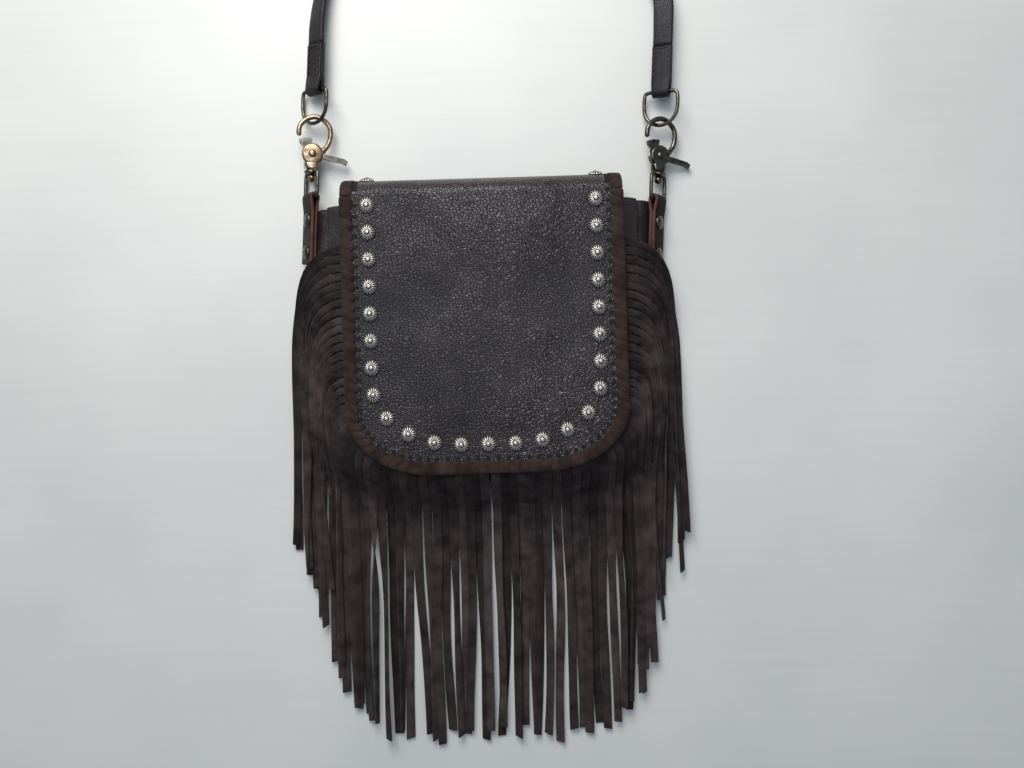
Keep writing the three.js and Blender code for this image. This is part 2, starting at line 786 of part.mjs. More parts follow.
// D-ring: a straight bar through the strap's loop, straight sides and a half round foot, which has dropped a
// little about the bar.
function dRing() {
  const points = [
    [-ringHalfWidth + 2.6, ringBarY],
    [0, ringBarY],
    [ringHalfWidth - 2.6, ringBarY],
    [ringHalfWidth - 0.7, ringBarY - 0.8],
    [ringHalfWidth, ringBarY - 3],
  ];
  const footY = ringBottomY + ringHalfWidth;
  for (let i = 0; i <= 8; i += 1) {
    const angle = (-Math.PI * i) / 8;
    points.push([ringHalfWidth * Math.cos(angle), footY + ringHalfWidth * Math.sin(angle)]);
  }
  points.push([-ringHalfWidth, ringBarY - 3], [-ringHalfWidth + 0.7, ringBarY - 0.8]);
  const curve = new THREE.CatmullRomCurve3(points.map(([x, y]) => new THREE.Vector3(x, y, 0)), true, 'centripetal');
  const ring = new THREE.TubeGeometry(curve, 32, ringWire, 6, true);
  return ring.translate(0, -ringBarY, 0).rotateX(radians(ringDrop)).translate(0, ringBarY, 0);
}

// The strap's end, folded round the ring's bar and sewn to itself.
function strapEnd() {
  const loopRadius = ringWire + touchGap;
  const outerRadius = loopRadius + strapFoldThickness / 2;
  const shape = new THREE.Shape();
  const taper = ringBarY + 9;
  shape.moveTo(ringBarY, outerRadius);
  shape.absarc(ringBarY, 0, outerRadius, Math.PI / 2, 1.5 * Math.PI, false);
  shape.lineTo(taper, -strapFoldThickness / 2);
  shape.lineTo(strapFoldEndY, -strapFoldThickness / 2);
  shape.lineTo(strapFoldEndY, strapFoldThickness / 2);
  shape.lineTo(taper, strapFoldThickness / 2);
  shape.closePath();
  const eye = new THREE.Path();
  eye.absarc(ringBarY, 0, loopRadius, 0, 2 * Math.PI, true);
  shape.holes.push(eye);
  const folded = new THREE.ExtrudeGeometry(shape, { depth: strapWidth, bevelEnabled: false, curveSegments: 8 });
  const axes = [new THREE.Vector3(0, 1, 0), new THREE.Vector3(0, 0, 1), new THREE.Vector3(1, 0, 0)];
  folded.applyMatrix4(new THREE.Matrix4().makeBasis(...axes));
  return folded.translate(-strapWidth / 2, 0, 0);
}

// Tab: a strip of leather folded through the eye, its two legs riveted to the gusset.
function tab() {
  const loopRadius = eyeWire + touchGap;
  const outerRadius = loopRadius + tabThickness;
  const legHalf = tabThickness + 0.1;
  const shape = new THREE.Shape();
  const taper = eyeBarY - 8;
  const foot = eyeBarY - tabLength;
  shape.moveTo(eyeBarY, -outerRadius);
  shape.absarc(eyeBarY, 0, outerRadius, -Math.PI / 2, Math.PI / 2, false);
  shape.lineTo(taper, legHalf);
  shape.lineTo(foot, legHalf);
  shape.lineTo(foot, -legHalf);
  shape.lineTo(taper, -legHalf);
  shape.closePath();
  const eye = new THREE.Path();
  eye.absarc(eyeBarY, 0, loopRadius, 0, 2 * Math.PI, true);
  shape.holes.push(eye);
  const folded = new THREE.ExtrudeGeometry(shape, { depth: tabWidth, bevelEnabled: false, curveSegments: 8 });
  const axes = [new THREE.Vector3(0, 1, 0), new THREE.Vector3(0, 0, 1), new THREE.Vector3(1, 0, 0)];
  folded.applyMatrix4(new THREE.Matrix4().makeBasis(...axes)).translate(-tabWidth / 2, 0, 0);
  return join(folded, ...tabRivetDrops.map(tabRivet));
}

function tabRivet(drop) {
  const seat = tabThickness;
  const profile = [
    [0, -seat - 0.8],
    [tabRivetRadius * 0.8, -seat - 0.6],
    [tabRivetRadius * 0.8, -seat],
    [rivetRadius, -seat],
    [rivetRadius, seat],
    [tabRivetRadius, seat],
    [tabRivetRadius * 0.93, seat + 0.5 * tabRivetHeight],
    [tabRivetRadius * 0.5, seat + 0.95 * tabRivetHeight],
    [0, seat + tabRivetHeight],
  ];
  const turned = new THREE.LatheGeometry(profile.map(([r, h]) => new THREE.Vector2(r, h)), 16);
  return turned.rotateX(Math.PI / 2).translate(0, eyeBarY - drop, 0);
}

// A frame at a hook's rivet, leaning with the hook and turned about its length.
function hookFrame(hook, turn) {
  const group = new THREE.Group();
  group.position.set(hook.x, hook.y, hookHeight);
  group.rotation.set(0, radians(turn), radians(hookLean), 'ZYX');
  bag.add(group);
  return group;
}

function addHook(side, hook) {
  const name = side < 0 ? 'left' : 'right';
  const clip = hookFrame(hook, hook.hookTilt);
  place(`${name}_hook_body`, hookBody(), name === 'left' ? brassMetal() : agedMetal(), clip);
  place(`${name}_trigger`, trigger(), agedMetal(), clip);
  place(`${name}_trigger_rivet`, triggerRivet(), agedMetal(), clip);
  place(`${name}_trigger_spring`, triggerSpring(), agedMetal(), clip);
  const eye = hookFrame(hook, side < 0 ? -eyeTilt : eyeTilt);
  place(`${name}_swivel_eye`, swivelEye(), agedMetal(), eye);
  place(`${name}_tab`, tab(), gussetFinish(), eye);
  const ring = hookFrame(hook, hook.ringTilt);
  place(`${name}_d_ring`, dRing(), agedMetal(), ring);
  place(`${name}_strap_end`, strapEnd(), gussetFinish(), ring);
}

// A length of strap, extruded straight and then bent along its route. Rolls are in degrees from flat.
function strapRun(points, startRoll, endRoll) {
  const route = new THREE.CatmullRomCurve3(points, false, 'centripetal');
  const half = strapWidth / 2;
  const thin = strapThickness / 2;
  const corners = [[half, 0.4 * thin], [half - 0.6, thin], [0.6 - half, thin], [-half, 0.4 * thin]];
  const section = [...corners, ...corners.map(([x, y]) => [-x, -y])];
  const steps = Math.round(route.getLength() / (2 * strapWidth / 3));
  const shape = new THREE.Shape(section.map(([x, y]) => new THREE.Vector2(x, y)));
  const geometry = new THREE.ExtrudeGeometry(shape, { depth: 1, steps, bevelEnabled: false });
  const position = geometry.attributes.position;
  const up = new THREE.Vector3(0, 0, 1);
  for (let i = 0; i < position.count; i += 1) {
    const share = Math.min(1, Math.max(0, position.getZ(i)));
    const at = route.getPointAt(share);
    const along = route.getTangentAt(share);
    const across = along.clone().cross(up).normalize();
    const face = across.clone().cross(along);
    const roll = radians(startRoll + (endRoll - startRoll) * smoothStep(share));
    const side = across.clone().multiplyScalar(Math.cos(roll)).addScaledVector(face, Math.sin(roll));
    const normal = face.clone().multiplyScalar(Math.cos(roll)).addScaledVector(across, -Math.sin(roll));
    at.addScaledVector(side, -position.getX(i)).addScaledVector(normal, position.getY(i));
    position.setXYZ(i, at.x, at.y, at.z);
  }
  const solid = toGeometry(toSolid(geometry));
  return solid;
}

function alongHook(hook, y) {
  const lean = radians(hookLean);
  return new THREE.Vector3(hook.x - y * Math.sin(lean), hook.y + y * Math.cos(lean), hookHeight);
}

function coilPoint(radius, degrees, z) {
  const angle = radians(degrees);
  return new THREE.Vector3(coilCentre[0] + radius * Math.cos(angle), coilCentre[1] + radius * Math.sin(angle), z);
}

function addStrap() {
  const middle = (coilLow + coilHigh) / 2;
  const ring = new THREE.LatheGeometry([
    [coilInner, coilLow],
    [coilOuter, coilLow],
    [coilOuter, coilHigh],
    [coilInner, coilHigh],
    [coilInner, coilLow],
  ].map(([r, h]) => new THREE.Vector2(r, h)), 40).rotateX(Math.PI / 2);
  place('strap_coil', toGeometry(toSolid(ring)), gussetFinish()).position.set(...coilCentre, 0);
  const outside = coilOuter + touchGap + strapThickness / 2;
  const start = strapFoldEndY + touchGap;
  const leftRoute = [
    alongHook(leftHook, start),
    alongHook(leftHook, start + 12),
    new THREE.Vector3(-100, 214, 8.4),
    new THREE.Vector3(-93, 244, middle),
    new THREE.Vector3(-82, 277, middle),
    coilPoint(outside + 4.5, 192, middle),
    coilPoint(outside + 0.1, 176, middle),
  ];
  place('strap_run_left', strapRun(leftRoute, -leftHook.ringTilt, 90), gussetFinish());
  const rightRoute = [
    alongHook(rightHook, start),
    alongHook(rightHook, start + 12),
    new THREE.Vector3(119, 212, 8.4),
    new THREE.Vector3(110, 229, middle),
    new THREE.Vector3(82, 236, middle),
    new THREE.Vector3(48, 235.5, middle),
    coilPoint(outside + 4.5, 278, middle),
    coilPoint(outside + 0.1, 262, middle),
  ];
  place('strap_run_right', strapRun(rightRoute, -rightHook.ringTilt, -90), gussetFinish());
}

// Assembly

place('back_panel', backPanel(), leather());
place('front_panel', frontPanel(), leather());
place('gusset', gusset(), gussetFinish());
place('flap', flapPanel(), leather());
place('flap_lacing', flapLacing(), laceSuede());
place('fold_lacing_left', foldLacing(-1), laceSuede());
place('fold_lacing_right', foldLacing(1), laceSuede());
place('magnet_socket', magnetHalf(bagDepth + touchGap / 2), studMetal());
place('magnet_stud', magnetHalf(flapUnderside - magnetThickness - touchGap / 2), studMetal());
place('fringe_left', fringe(-1), suede());
place('fringe_right', fringe(1), suede());
addStuds();
addHook(-1, leftHook);
addHook(1, rightHook);
addStrap();

export default bag;
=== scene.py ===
"""Looks of a fringed crossbody bag of pebbled leather and suede, on its back on a white painted board."""

import random
from math import atan2, copysign, cos, pi, radians, sin, sqrt

import bpy
from mathutils import Matrix, Vector


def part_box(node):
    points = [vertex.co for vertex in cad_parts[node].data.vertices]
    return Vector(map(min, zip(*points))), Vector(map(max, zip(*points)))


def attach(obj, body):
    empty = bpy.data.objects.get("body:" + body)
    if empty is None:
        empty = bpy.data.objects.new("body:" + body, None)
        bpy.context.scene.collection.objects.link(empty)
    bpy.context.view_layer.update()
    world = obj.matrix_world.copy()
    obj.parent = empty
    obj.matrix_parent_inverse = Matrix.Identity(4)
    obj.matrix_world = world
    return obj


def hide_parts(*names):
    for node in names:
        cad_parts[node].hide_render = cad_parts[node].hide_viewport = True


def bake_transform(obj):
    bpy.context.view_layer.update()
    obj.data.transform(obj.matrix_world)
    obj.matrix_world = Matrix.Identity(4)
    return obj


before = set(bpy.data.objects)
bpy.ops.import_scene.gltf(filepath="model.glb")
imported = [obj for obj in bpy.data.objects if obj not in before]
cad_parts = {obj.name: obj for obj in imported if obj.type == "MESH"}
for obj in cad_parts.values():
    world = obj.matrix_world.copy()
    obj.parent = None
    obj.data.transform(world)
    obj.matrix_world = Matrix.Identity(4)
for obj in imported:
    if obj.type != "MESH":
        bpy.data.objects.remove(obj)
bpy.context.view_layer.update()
random.seed(11)

MM = 0.001
UP = Vector((0, 0, 1))
scene = bpy.context.scene

# Sizes repeated from the part's source, in millimetres
PANEL_HALF_WIDTH = 85.5
PANEL_BOTTOM_Y = -87
CORNER_ACROSS = 52
CORNER_UP = 38
FRINGE_TOP_Y = 52
FLAP_TOP_Z = 39.3
LEATHER = 1.8
FOLD_Y = 81
FOLD_REACH = 12
FOLD_CENTRE_Z = FLAP_TOP_Z / 2
FOLD_MIDDLE_REACH = FOLD_REACH - LEATHER / 2
FOLD_MIDDLE_RISE = FOLD_CENTRE_Z - LEATHER / 2
FLAP_BOTTOM_Y = -89.5
FLAP_START_Y = 80.5
STITCH_PITCH = 6.2
HOOK_HEIGHT = 10.5
HOOK_LEAN = -3.7
HOOKS = {
    "left": {"x": -107.5, "y": 114.1, "hook_tilt": 10, "ring_tilt": -37, "eye_tilt": -55},
    "right": {"x": 113.7, "y": 106.1, "hook_tilt": 20, "ring_tilt": -28, "eye_tilt": 55},
}
STRAP_WIDTH = 12.7
STRAP_THICKNESS = 3
STRAP_FOLD_END = 70
COIL_CENTRE = (8, 318)
COIL_MIDDLE_Z = 6.75
COIL_OUTER = 76
COIL_PITCH = 14
COIL_OUTER_AT = 150


# Camera, straight above the bag

CAMERA_X = 15.4
CAMERA_Y = -36.5
CAMERA_HEIGHT = 620
CAMERA_ROLL = -1.75
CAMERA_LENS = 33.53

camera = bpy.data.objects.new("camera", bpy.data.cameras.new("camera"))
camera.data.lens = CAMERA_LENS
camera.data.sensor_width = 36
camera.data.clip_start = 0.01
camera.location = (CAMERA_X * MM, CAMERA_Y * MM, CAMERA_HEIGHT * MM)
camera.rotation_euler = (0, 0, radians(CAMERA_ROLL))
scene.collection.objects.link(camera)
scene.camera = camera


# Meshes

def add_piece(name, points, faces, material, smooth=True):
    """A mesh piece from points in millimetres."""
    mesh = bpy.data.meshes.new(name)
    mesh.from_pydata([(p[0] * MM, p[1] * MM, p[2] * MM) for p in points], [], faces)
    mesh.polygons.foreach_set("use_smooth", [smooth] * len(mesh.polygons))
    mesh.validate()
    mesh.materials.append(material)
    piece = bpy.data.objects.new(name, mesh)
    scene.collection.objects.link(piece)
    return piece


def loft(rings, closed=False):
    """Points and faces of a skin over rings of points, with flat ends unless it is closed."""
    count = len(rings[0])
    points = [p for ring in rings for p in ring]
    faces = []
    total = len(rings)
    for r in range(total if closed else total - 1):
        here, there = r * count, ((r + 1) % total) * count
        for i in range(count):
            j = (i + 1) % count
            faces.append((here + i, here + j, there + j, there + i))
    if not closed:
        faces.append(tuple(reversed(range(count))))
        faces.append(tuple((total - 1) * count + i for i in range(count)))
    return points, faces


def merge(parts):
    """One list of points and faces from several."""
    points, faces = [], []
    for part_points, part_faces in parts:
        first = len(points)
        points.extend(part_points)
        faces.extend(tuple(first + i for i in face) for face in part_faces)
    return points, faces


def moved(part, matrix):
    points, faces = part
    return [tuple(matrix @ Vector(p)) for p in points], faces


def smooth_step(x):
    t = min(1, max(0, x))
    return t * t * (3 - 2 * t)


def circle(count):
    """Cosine and sine of evenly spaced angles."""
    angles = [2 * pi * i / count for i in range(count)]
    return [(cos(angle), sin(angle)) for angle in angles]


def running_lengths(points):
    """How far along the line each of its points is."""
    lengths = [0.0]
    for a, b in zip(points, points[1:]):
        lengths.append(lengths[-1] + (b - a).length)
    return lengths


def heading(line, i):
    """The way a line goes at one of its points."""
    return (line[min(len(line) - 1, i + 1)] - line[max(0, i - 1)]).normalized()


def spread(points, lengths, reach, steps):
    """Points evenly spaced on a line, from its start to a reach along it."""
    places = []
    at = 0
    for i in range(steps + 1):
        wanted = reach * i / steps
        while at + 2 < len(points) and lengths[at + 1] < wanted:
            at += 1
        share = (wanted - lengths[at]) / max(1e-9, lengths[at + 1] - lengths[at])
        places.append(points[at].lerp(points[at + 1], min(1, max(0, share))))
    return places


def spline(points, steps, closed=False):
    """Points evenly spaced on a centripetal curve through the given ones."""
    source = [Vector(p) for p in points]
    total = len(source)
    fine = []
    spans = total if closed else total - 1
    for s in range(spans):
        if closed:
            p0, p1, p2, p3 = (source[(s + o) % total] for o in (-1, 0, 1, 2))
        else:
            p1, p2 = source[s], source[s + 1]
            p0 = source[s - 1] if s > 0 else p1 + (p1 - p2)
            p3 = source[s + 2] if s + 2 < total else p2 + (p2 - p1)
        t1 = max(1e-6, (p1 - p0).length) ** 0.5
        t2 = t1 + max(1e-6, (p2 - p1).length) ** 0.5
        t3 = t2 + max(1e-6, (p3 - p2).length) ** 0.5
        for i in range(24):
            t = t1 + (t2 - t1) * i / 24
            a1 = p0 * ((t1 - t) / t1) + p1 * (t / t1)
            a2 = p1 * ((t2 - t) / (t2 - t1)) + p2 * ((t - t1) / (t2 - t1))
            a3 = p2 * ((t3 - t) / (t3 - t2)) + p3 * ((t - t2) / (t3 - t2))
            b1 = a1 * ((t2 - t) / t2) + a2 * (t / t2)
            b2 = a2 * ((t3 - t) / (t3 - t1)) + a3 * ((t - t1) / (t3 - t1))
            fine.append(b1 * ((t2 - t) / (t2 - t1)) + b2 * ((t - t1) / (t2 - t1)))
    fine.append(source[0].copy() if closed else source[-1].copy())
    lengths = running_lengths(fine)
    even = spread(fine, lengths, lengths[-1], steps)
    return even[:-1] if closed else even


def tube(points, radius, sides=14, closed=False):
    """A round wire along points, by carrying one frame along it."""
    total = len(points)
    rings = []
    normal = None
    for i, point in enumerate(points):
        before = points[(i - 1) % total] if closed or i > 0 else point
        after = points[(i + 1) % total] if closed or i + 1 < total else point
        along = (after - before).normalized()
        if normal is None:
            guess = UP if abs(along.z) < 0.9 else Vector((1, 0, 0))
            normal = (guess - along * guess.dot(along)).normalized()
        normal = (normal - along * normal.dot(along)).normalized()
        side = along.cross(normal)
        size = radius(i / (total - 1)) if callable(radius) else radius
        rings.append([point + normal * (size * c) + side * (size * s) for c, s in circle(sides)])
    return loft(rings, closed)


def lathe(profile, segments):
    """A turned shape about Z from [radius, height] pairs; the first and last lie on the axis."""
    points = [(0, 0, profile[0][1])]
    inner = profile[1:-1]
    for radius, height in inner:
        points += [(radius * c, radius * s, height) for c, s in circle(segments)]
    points.append((0, 0, profile[-1][1]))
    faces = []
    for i in range(segments):
        j = (i + 1) % segments
        faces.append((0, 1 + j, 1 + i))
        for r in range(len(inner) - 1):
            a, b = 1 + r * segments, 1 + (r + 1) * segments
            faces.append((a + i, a + j, b + j, b + i))
        last = 1 + (len(inner) - 1) * segments
        faces.append((last + i, last + j, len(points) - 1))
    return points, faces


def bevelled(piece, width, segments, angle):
    """Rounds the piece's edges, as tumbled metal or cut leather has them. Width in millimetres."""
    rounding = piece.modifiers.new("rounded_edges", "BEVEL")
    rounding.width = width * MM
    rounding.segments = segments
    rounding.limit_method = "ANGLE"
    rounding.angle_limit = radians(angle)


# The edge of a panel, from its top left corner round the bottom to its top right corner

def panel_edge(half_width, top_y, bottom_y, step=1.0):
    """Evenly spaced (point, along, out) on the edge."""
    corners = []
    arc_y = bottom_y + CORNER_UP
    corners.append((-half_width, top_y))
    corners.append((-half_width, arc_y))
    for i in range(1, 33):
        angle = pi + 0.5 * pi * i / 32
        x = -half_width + CORNER_ACROSS + CORNER_ACROSS * cos(angle)
        corners.append((x, arc_y + CORNER_UP * sin(angle)))
    right = [(-x, y) for x, y in reversed(corners)]
    outline = [Vector((x, y)) for x, y in corners + right]
    lengths = running_lengths(outline)
    count = max(2, round(lengths[-1] / step))
    result = spread(outline, lengths, lengths[-1], count)
    framed = []
    for i, point in enumerate(result):
        along = heading(result, i)
        framed.append((point, along, Vector((along.y, -along.x))))
    return framed, lengths[-1]


NARROWEST_SWELL = 0.45


def seam_swell(sideways):
    """How full the gusset is at a place on the edge: 1 at the sides, least at the bottom."""
    return NARROWEST_SWELL + (1 - NARROWEST_SWELL) * sideways


def fold_place(degrees):
    """(y, z, out) of the middle of the leather where it goes over the top edge."""
    angle = radians(degrees)
    c, s = cos(angle), sin(angle)
    out = Vector((0, c / FOLD_MIDDLE_REACH, s / FOLD_MIDDLE_RISE)).normalized()
    return FOLD_Y + FOLD_MIDDLE_REACH * c, FOLD_CENTRE_Z + FOLD_MIDDLE_RISE * s, out


def hook_matrix(side, tilt):
    """From a hook's own frame, at its rivet, to the bag's, in millimetres."""
    hook = HOOKS[side]
    place = Matrix.Translation((hook["x"], hook["y"], HOOK_HEIGHT))
    lean = Matrix.Rotation(radians(HOOK_LEAN), 4, "Z")
    return place @ lean @ Matrix.Rotation(radians(tilt), 4, "Y")


# Materials

def linear(hex_colour):
    channels = [int(hex_colour[i:i + 2], 16) / 255 for i in (1, 3, 5)]
    bright = [c / 12.92 if c <= 0.04045 else ((c + 0.055) / 1.055) ** 2.4 for c in channels]
    return (*bright, 1)


class Finish:
    """A material under construction: add() returns a node, the others the output that is used."""

    def __init__(self, name, base, roughness, metallic=0.0, **extra):
        self.material = bpy.data.materials.new(name)
        self.material.use_nodes = True
        self.tree = self.material.node_tree
        self.shader = next(n for n in self.tree.nodes if n.type == "BSDF_PRINCIPLED")
        self.set("Base Color", linear(base))
        self.set("Roughness", roughness)
        self.set("Metallic", metallic)
        for socket, value in extra.items():
            self.set(socket.replace("_", " "), value)
        self.place = self.add("ShaderNodeTexCoord")

    def set(self, socket, value):
        self.shader.inputs[socket].default_value = value

    def add(self, kind, settings=None, values=None, links=None):
        node = self.tree.nodes.new(kind)
        for key, value in (settings or {}).items():
            setattr(node, key, value)
        for key, value in (values or {}).items():
            node.inputs[key].default_value = value
        for key, source in (links or {}).items():
            self.tree.links.new(source, node.inputs[key])
        return node

    def feed(self, socket, source):
        self.tree.links.new(source, self.shader.inputs[socket])

    def ramp(self, source, stops):
        node = self.add("ShaderNodeValToRGB", links={"Fac": source})
        ramp = node.color_ramp
        while len(ramp.elements) < len(stops):
            ramp.elements.new(0.5)
        for element, (position, colour) in zip(ramp.elements, stops):
            element.position = position
            element.color = linear(colour) if isinstance(colour, str) else (colour, colour, colour, 1)
        return node.outputs["Color"]

    def noise(self, size_mm, detail, vector, **more):
        values = {"Scale": 1 / (size_mm * MM), "Detail": detail, **more}
        return self.add("ShaderNodeTexNoise", values=values, links={"Vector": vector}).outputs["Fac"]

    def times(self, a, b, factor=1.0):
        settings = {"data_type": "RGBA", "blend_type": "MULTIPLY"}
        return self.add("ShaderNodeMix", settings, {"Factor": factor}, {"A": a, "B": b}).outputs["Result"]

    def bump(self, height, distance_mm, strength=1.0, below=None):
        links = {"Height": height}
        if below is not None:
            links["Normal"] = below
        values = {"Distance": distance_mm * MM, "Strength": strength}
        return self.add("ShaderNodeBump", values=values, links=links).outputs["Normal"]


CREASE_PEBBLES = 9
# Size of the hide's billows, whose noise also carries the painted sheen patches in the colour.
BILLOW_SIZE = 75
BRUSHED_SIZE = 9


def pebbled(name, dark, light, roughness, pebble_mm, depth_mm, gloss=0.5, billow_mm=1.0):
    """Drum dyed, tumbled cowhide: soft pebbles with painted shade in their creases, broad patches of painted
    sheen and shade, and a half matt shine with a bluish painted tint.
    """
    finish = Finish(name, dark, roughness, Specular_IOR_Level=gloss)
    # Painted light colour: the leather's reflections are tinted a little blue, for the bluish daylight they
    # reflect.
    finish.set("Specular Tint", linear("#e9ecf8"))
    coords = finish.place.outputs["Object"]
    wander = finish.noise(pebble_mm / 0.35, 2.0, coords)
    bent = finish.add("ShaderNodeMix", {"data_type": "VECTOR"}, {"Factor": 0.0012},
                      {"A": coords, "B": wander.node.outputs["Color"]})
    cells = finish.add("ShaderNodeTexVoronoi", {"feature": "DISTANCE_TO_EDGE"},
                       {"Scale": 1 / (pebble_mm * MM)}, {"Vector": bent.outputs["Result"]})
    pebble = finish.ramp(cells.outputs["Distance"], [(0.0, 0.0), (0.12, 0.7), (0.4, 1.0)])
    creases = finish.noise(CREASE_PEBBLES * pebble_mm, 4.0, coords)
    tone = finish.ramp(creases, [(0.3, dark), (0.7, light)])
    # Painted shade: the colour darkens to about half along the pebbles' edges, where shade falls in the
    # creases between them.
    shade = finish.times(tone, pebble, 0.45)
    billow_noise = finish.noise(BILLOW_SIZE, 2.0, coords)
    # Painted sheen and shade: broad lighter and darker patches in the colour, on the same noise as the
    # billows, stand in for the highlights a billowing hide catches and the darker places between them.
    painted_sheen = finish.ramp(billow_noise, [(0.38, 0.5), (0.6, 1.25)])
    finish.feed("Base Color", finish.times(shade, painted_sheen))
    patchy = finish.ramp(billow_noise, [(0.35, roughness + 0.17), (0.62, roughness - 0.07)])
    finish.feed("Roughness", patchy)
    billow = finish.bump(billow_noise, billow_mm)
    soft = finish.bump(creases, 0.6, 0.5, billow)
    grain = finish.bump(pebble, depth_mm, 0.8, soft)
    finish.feed("Normal", grain)
    return finish.material


def napped(name, dark, light, nap_mm, depth_mm, strand_tones=(1.0, 1.0)):
    """Split cowhide suede: a short nap that scatters light, in uneven tones where it was brushed.

    strand_tones is how dark and how light a whole strand may be.
    """
    finish = Finish(name, dark, 0.95, Specular_IOR_Level=0.2, Sheen_Weight=0.35, Sheen_Roughness=0.5)
    finish.set("Sheen Tint", linear(light))
    coords = finish.place.outputs["Object"]
    nap = finish.noise(nap_mm, 5.0, coords, Roughness=0.7)
    brushed = finish.noise(BRUSHED_SIZE, 3.0, coords)
    tone = finish.ramp(brushed, [(0.32, dark), (0.68, light)])
    speck = finish.ramp(nap, [(0.3, 0.55), (0.65, 1.0)])
    mixed = finish.times(tone, speck, 0.6)
    island = finish.add("ShaderNodeNewGeometry")
    tones = finish.ramp(island.outputs["Random Per Island"], [(0.0, strand_tones[0]), (1.0, strand_tones[1])])
    finish.feed("Base Color", finish.times(mixed, tones))
    rough = finish.bump(nap, depth_mm, 0.9)
    finish.feed("Normal", rough)
    return finish.material


def antiqued(name, bright, dark, roughness, worn_mm):
    """Plated zinc or brass, blackened and rubbed back to a brighter metal where hands and cloth touch it."""
    finish = Finish(name, bright, roughness, metallic=1.0)
    worn = finish.noise(worn_mm, 4.0, finish.place.outputs["Object"])
    tone = finish.ramp(worn, [(0.3, dark), (0.62, bright)])
    finish.feed("Base Color", tone)
    patchy = finish.ramp(worn, [(0.3, roughness + 0.14), (0.7, roughness - 0.06)])
    finish.feed("Roughness", patchy)
    scuffs = finish.bump(worn, 0.08, 0.5)
    finish.feed("Normal", scuffs)
    return finish.material


flap_leather = pebbled("pebbled_cowhide", "#1c1311", "#2b201e", 0.36, 1.9, 0.32, 0.55, 7.0)
gusset_leather = pebbled("smooth_gusset_cowhide", "#1d1516", "#2b2122", 0.36, 1.4, 0.2)
strap_leather = pebbled("strap_cowhide", "#14100f", "#1e1819", 0.44, 1.3, 0.14, 0.38)
fringe_suede = napped("fringe_suede", "#2a2323", "#4a4040", 0.35, 0.12, (0.5, 1.15))
lace_suede = napped("lace_suede", "#251b19", "#3d2f2a", 0.3, 0.14)
tab_leather = pebbled("tab_cowhide", "#1b1311", "#2a1f1c", 0.55, 1.5, 0.2, 0.22)
edge_suede = napped("cut_leather_edge", "#4a302a", "#664840", 0.4, 0.15)
stud_metal = antiqued("antique_silver_plate", "#dddad2", "#a29e96", 0.33, 1.5)
# Near-black for the studs: partly the blackened patina of antique silver in their hollows, partly painted
# shade where the flutes, the groove round the button and the rim at the leather lie in shadow.
stud_patina_and_shade = Finish("patina_and_painted_shade", "#141211", 0.6, metallic=0.3).material
gun_metal = antiqued("gunmetal_plate", "#6d6961", "#39342f", 0.26, 3.0)
warm_metal = antiqued("worn_copper_brass", "#a9937a", "#5a4a3b", 0.28, 3.0)
thread = Finish("bonded_thread", "#262021", 0.6).material
lining_cloth = Finish("cotton_twill_lining", "#3a302e", 0.9).material
# Near-black for the painted shade in the holes the lace goes through.
hole_shade = Finish("painted_hole_shade", "#070505", 0.9).material


# Strap: one flat strap, its own route first

EXIT_RUN = 12
LEFT_TURN = 125
RIGHT_TURN = 135


def from_coil_centre(x, y):
    return (COIL_CENTRE[0] + x, COIL_CENTRE[1] + y, COIL_MIDDLE_Z)


def coil_point(radius, degrees):
    angle = radians(degrees)
    return from_coil_centre(radius * cos(angle), radius * sin(angle))


def outer_turn(degrees):
    """The radius of the coil's outer turn, which closes in by one pitch a round."""
    return COIL_OUTER - COIL_PITCH * (COIL_OUTER_AT - degrees) / 360


def along_hook(side, y):
    return tuple(hook_matrix(side, 0) @ Vector((0, y, 0)))


def strap_route():
    start = STRAP_FOLD_END + 0.3
    middle = COIL_MIDDLE_Z
    points = [along_hook("left", start), along_hook("left", start + EXIT_RUN)]
    points += [(-100, 214, 8.4), (-93, 244, middle), (-82, 277, middle)]
    points += [coil_point(84.3, 192), coil_point(79.9, 176)]
    points += [coil_point(outer_turn(degrees), degrees) for degrees in range(160, -81, -16)]
    hairpin = [(-14, -62), (-31, -50), (-38, -31), (-32, -12), (-15, -2), (5, -1), (20, -3), (42, 3),
               (54, 18)]
    points += [from_coil_centre(x, y) for x, y in hairpin]
    for degrees in range(32, 245, 16):
        points.append(coil_point(outer_turn(degrees) - 5.7 + 0.07 * max(0, degrees - 190), degrees))
    points += [coil_point(79.9, 262), coil_point(84.3, 278)]
    points += [(48, 235.5, middle), (82, 236, middle), (110, 229, middle), (119, 212, 8.4)]
    points += [along_hook("right", start + EXIT_RUN), along_hook("right", start)]
    return points


strap_path = spline(strap_route(), 420)
strap_length = running_lengths(strap_path)[-1]


def strap_roll(share):
    """Degrees from flat, right hand side of the way up: flat at the ends, on edge in the coil."""
    start, end = -HOOKS["left"]["ring_tilt"], HOOKS["right"]["ring_tilt"]
    if share < 0.5:
        return start + (90 - start) * smooth_step(share * strap_length / LEFT_TURN)
    return end + (90 - end) * smooth_step((1 - share) * strap_length / RIGHT_TURN)


def strap_section(point, along, roll):
    across = along.cross(UP).normalized()
    face = across.cross(along)
    turn = radians(roll)
    side = across * cos(turn) + face * sin(turn)
    normal = face * cos(turn) - across * sin(turn)
    half, thin = STRAP_WIDTH / 2, STRAP_THICKNESS / 2
    outline = [
        (half, 0.35 * thin), (half - 0.35, 0.85 * thin), (half - 1.2, thin), (half * 0.35, 1.08 * thin),
        (-half * 0.35, 1.08 * thin), (-half + 1.2, thin), (-half + 0.35, 0.85 * thin), (-half, 0.35 * thin),
    ]
    outline += [(-x, -y) for x, y in outline]
    return [point + side * x + normal * y for x, y in outline]


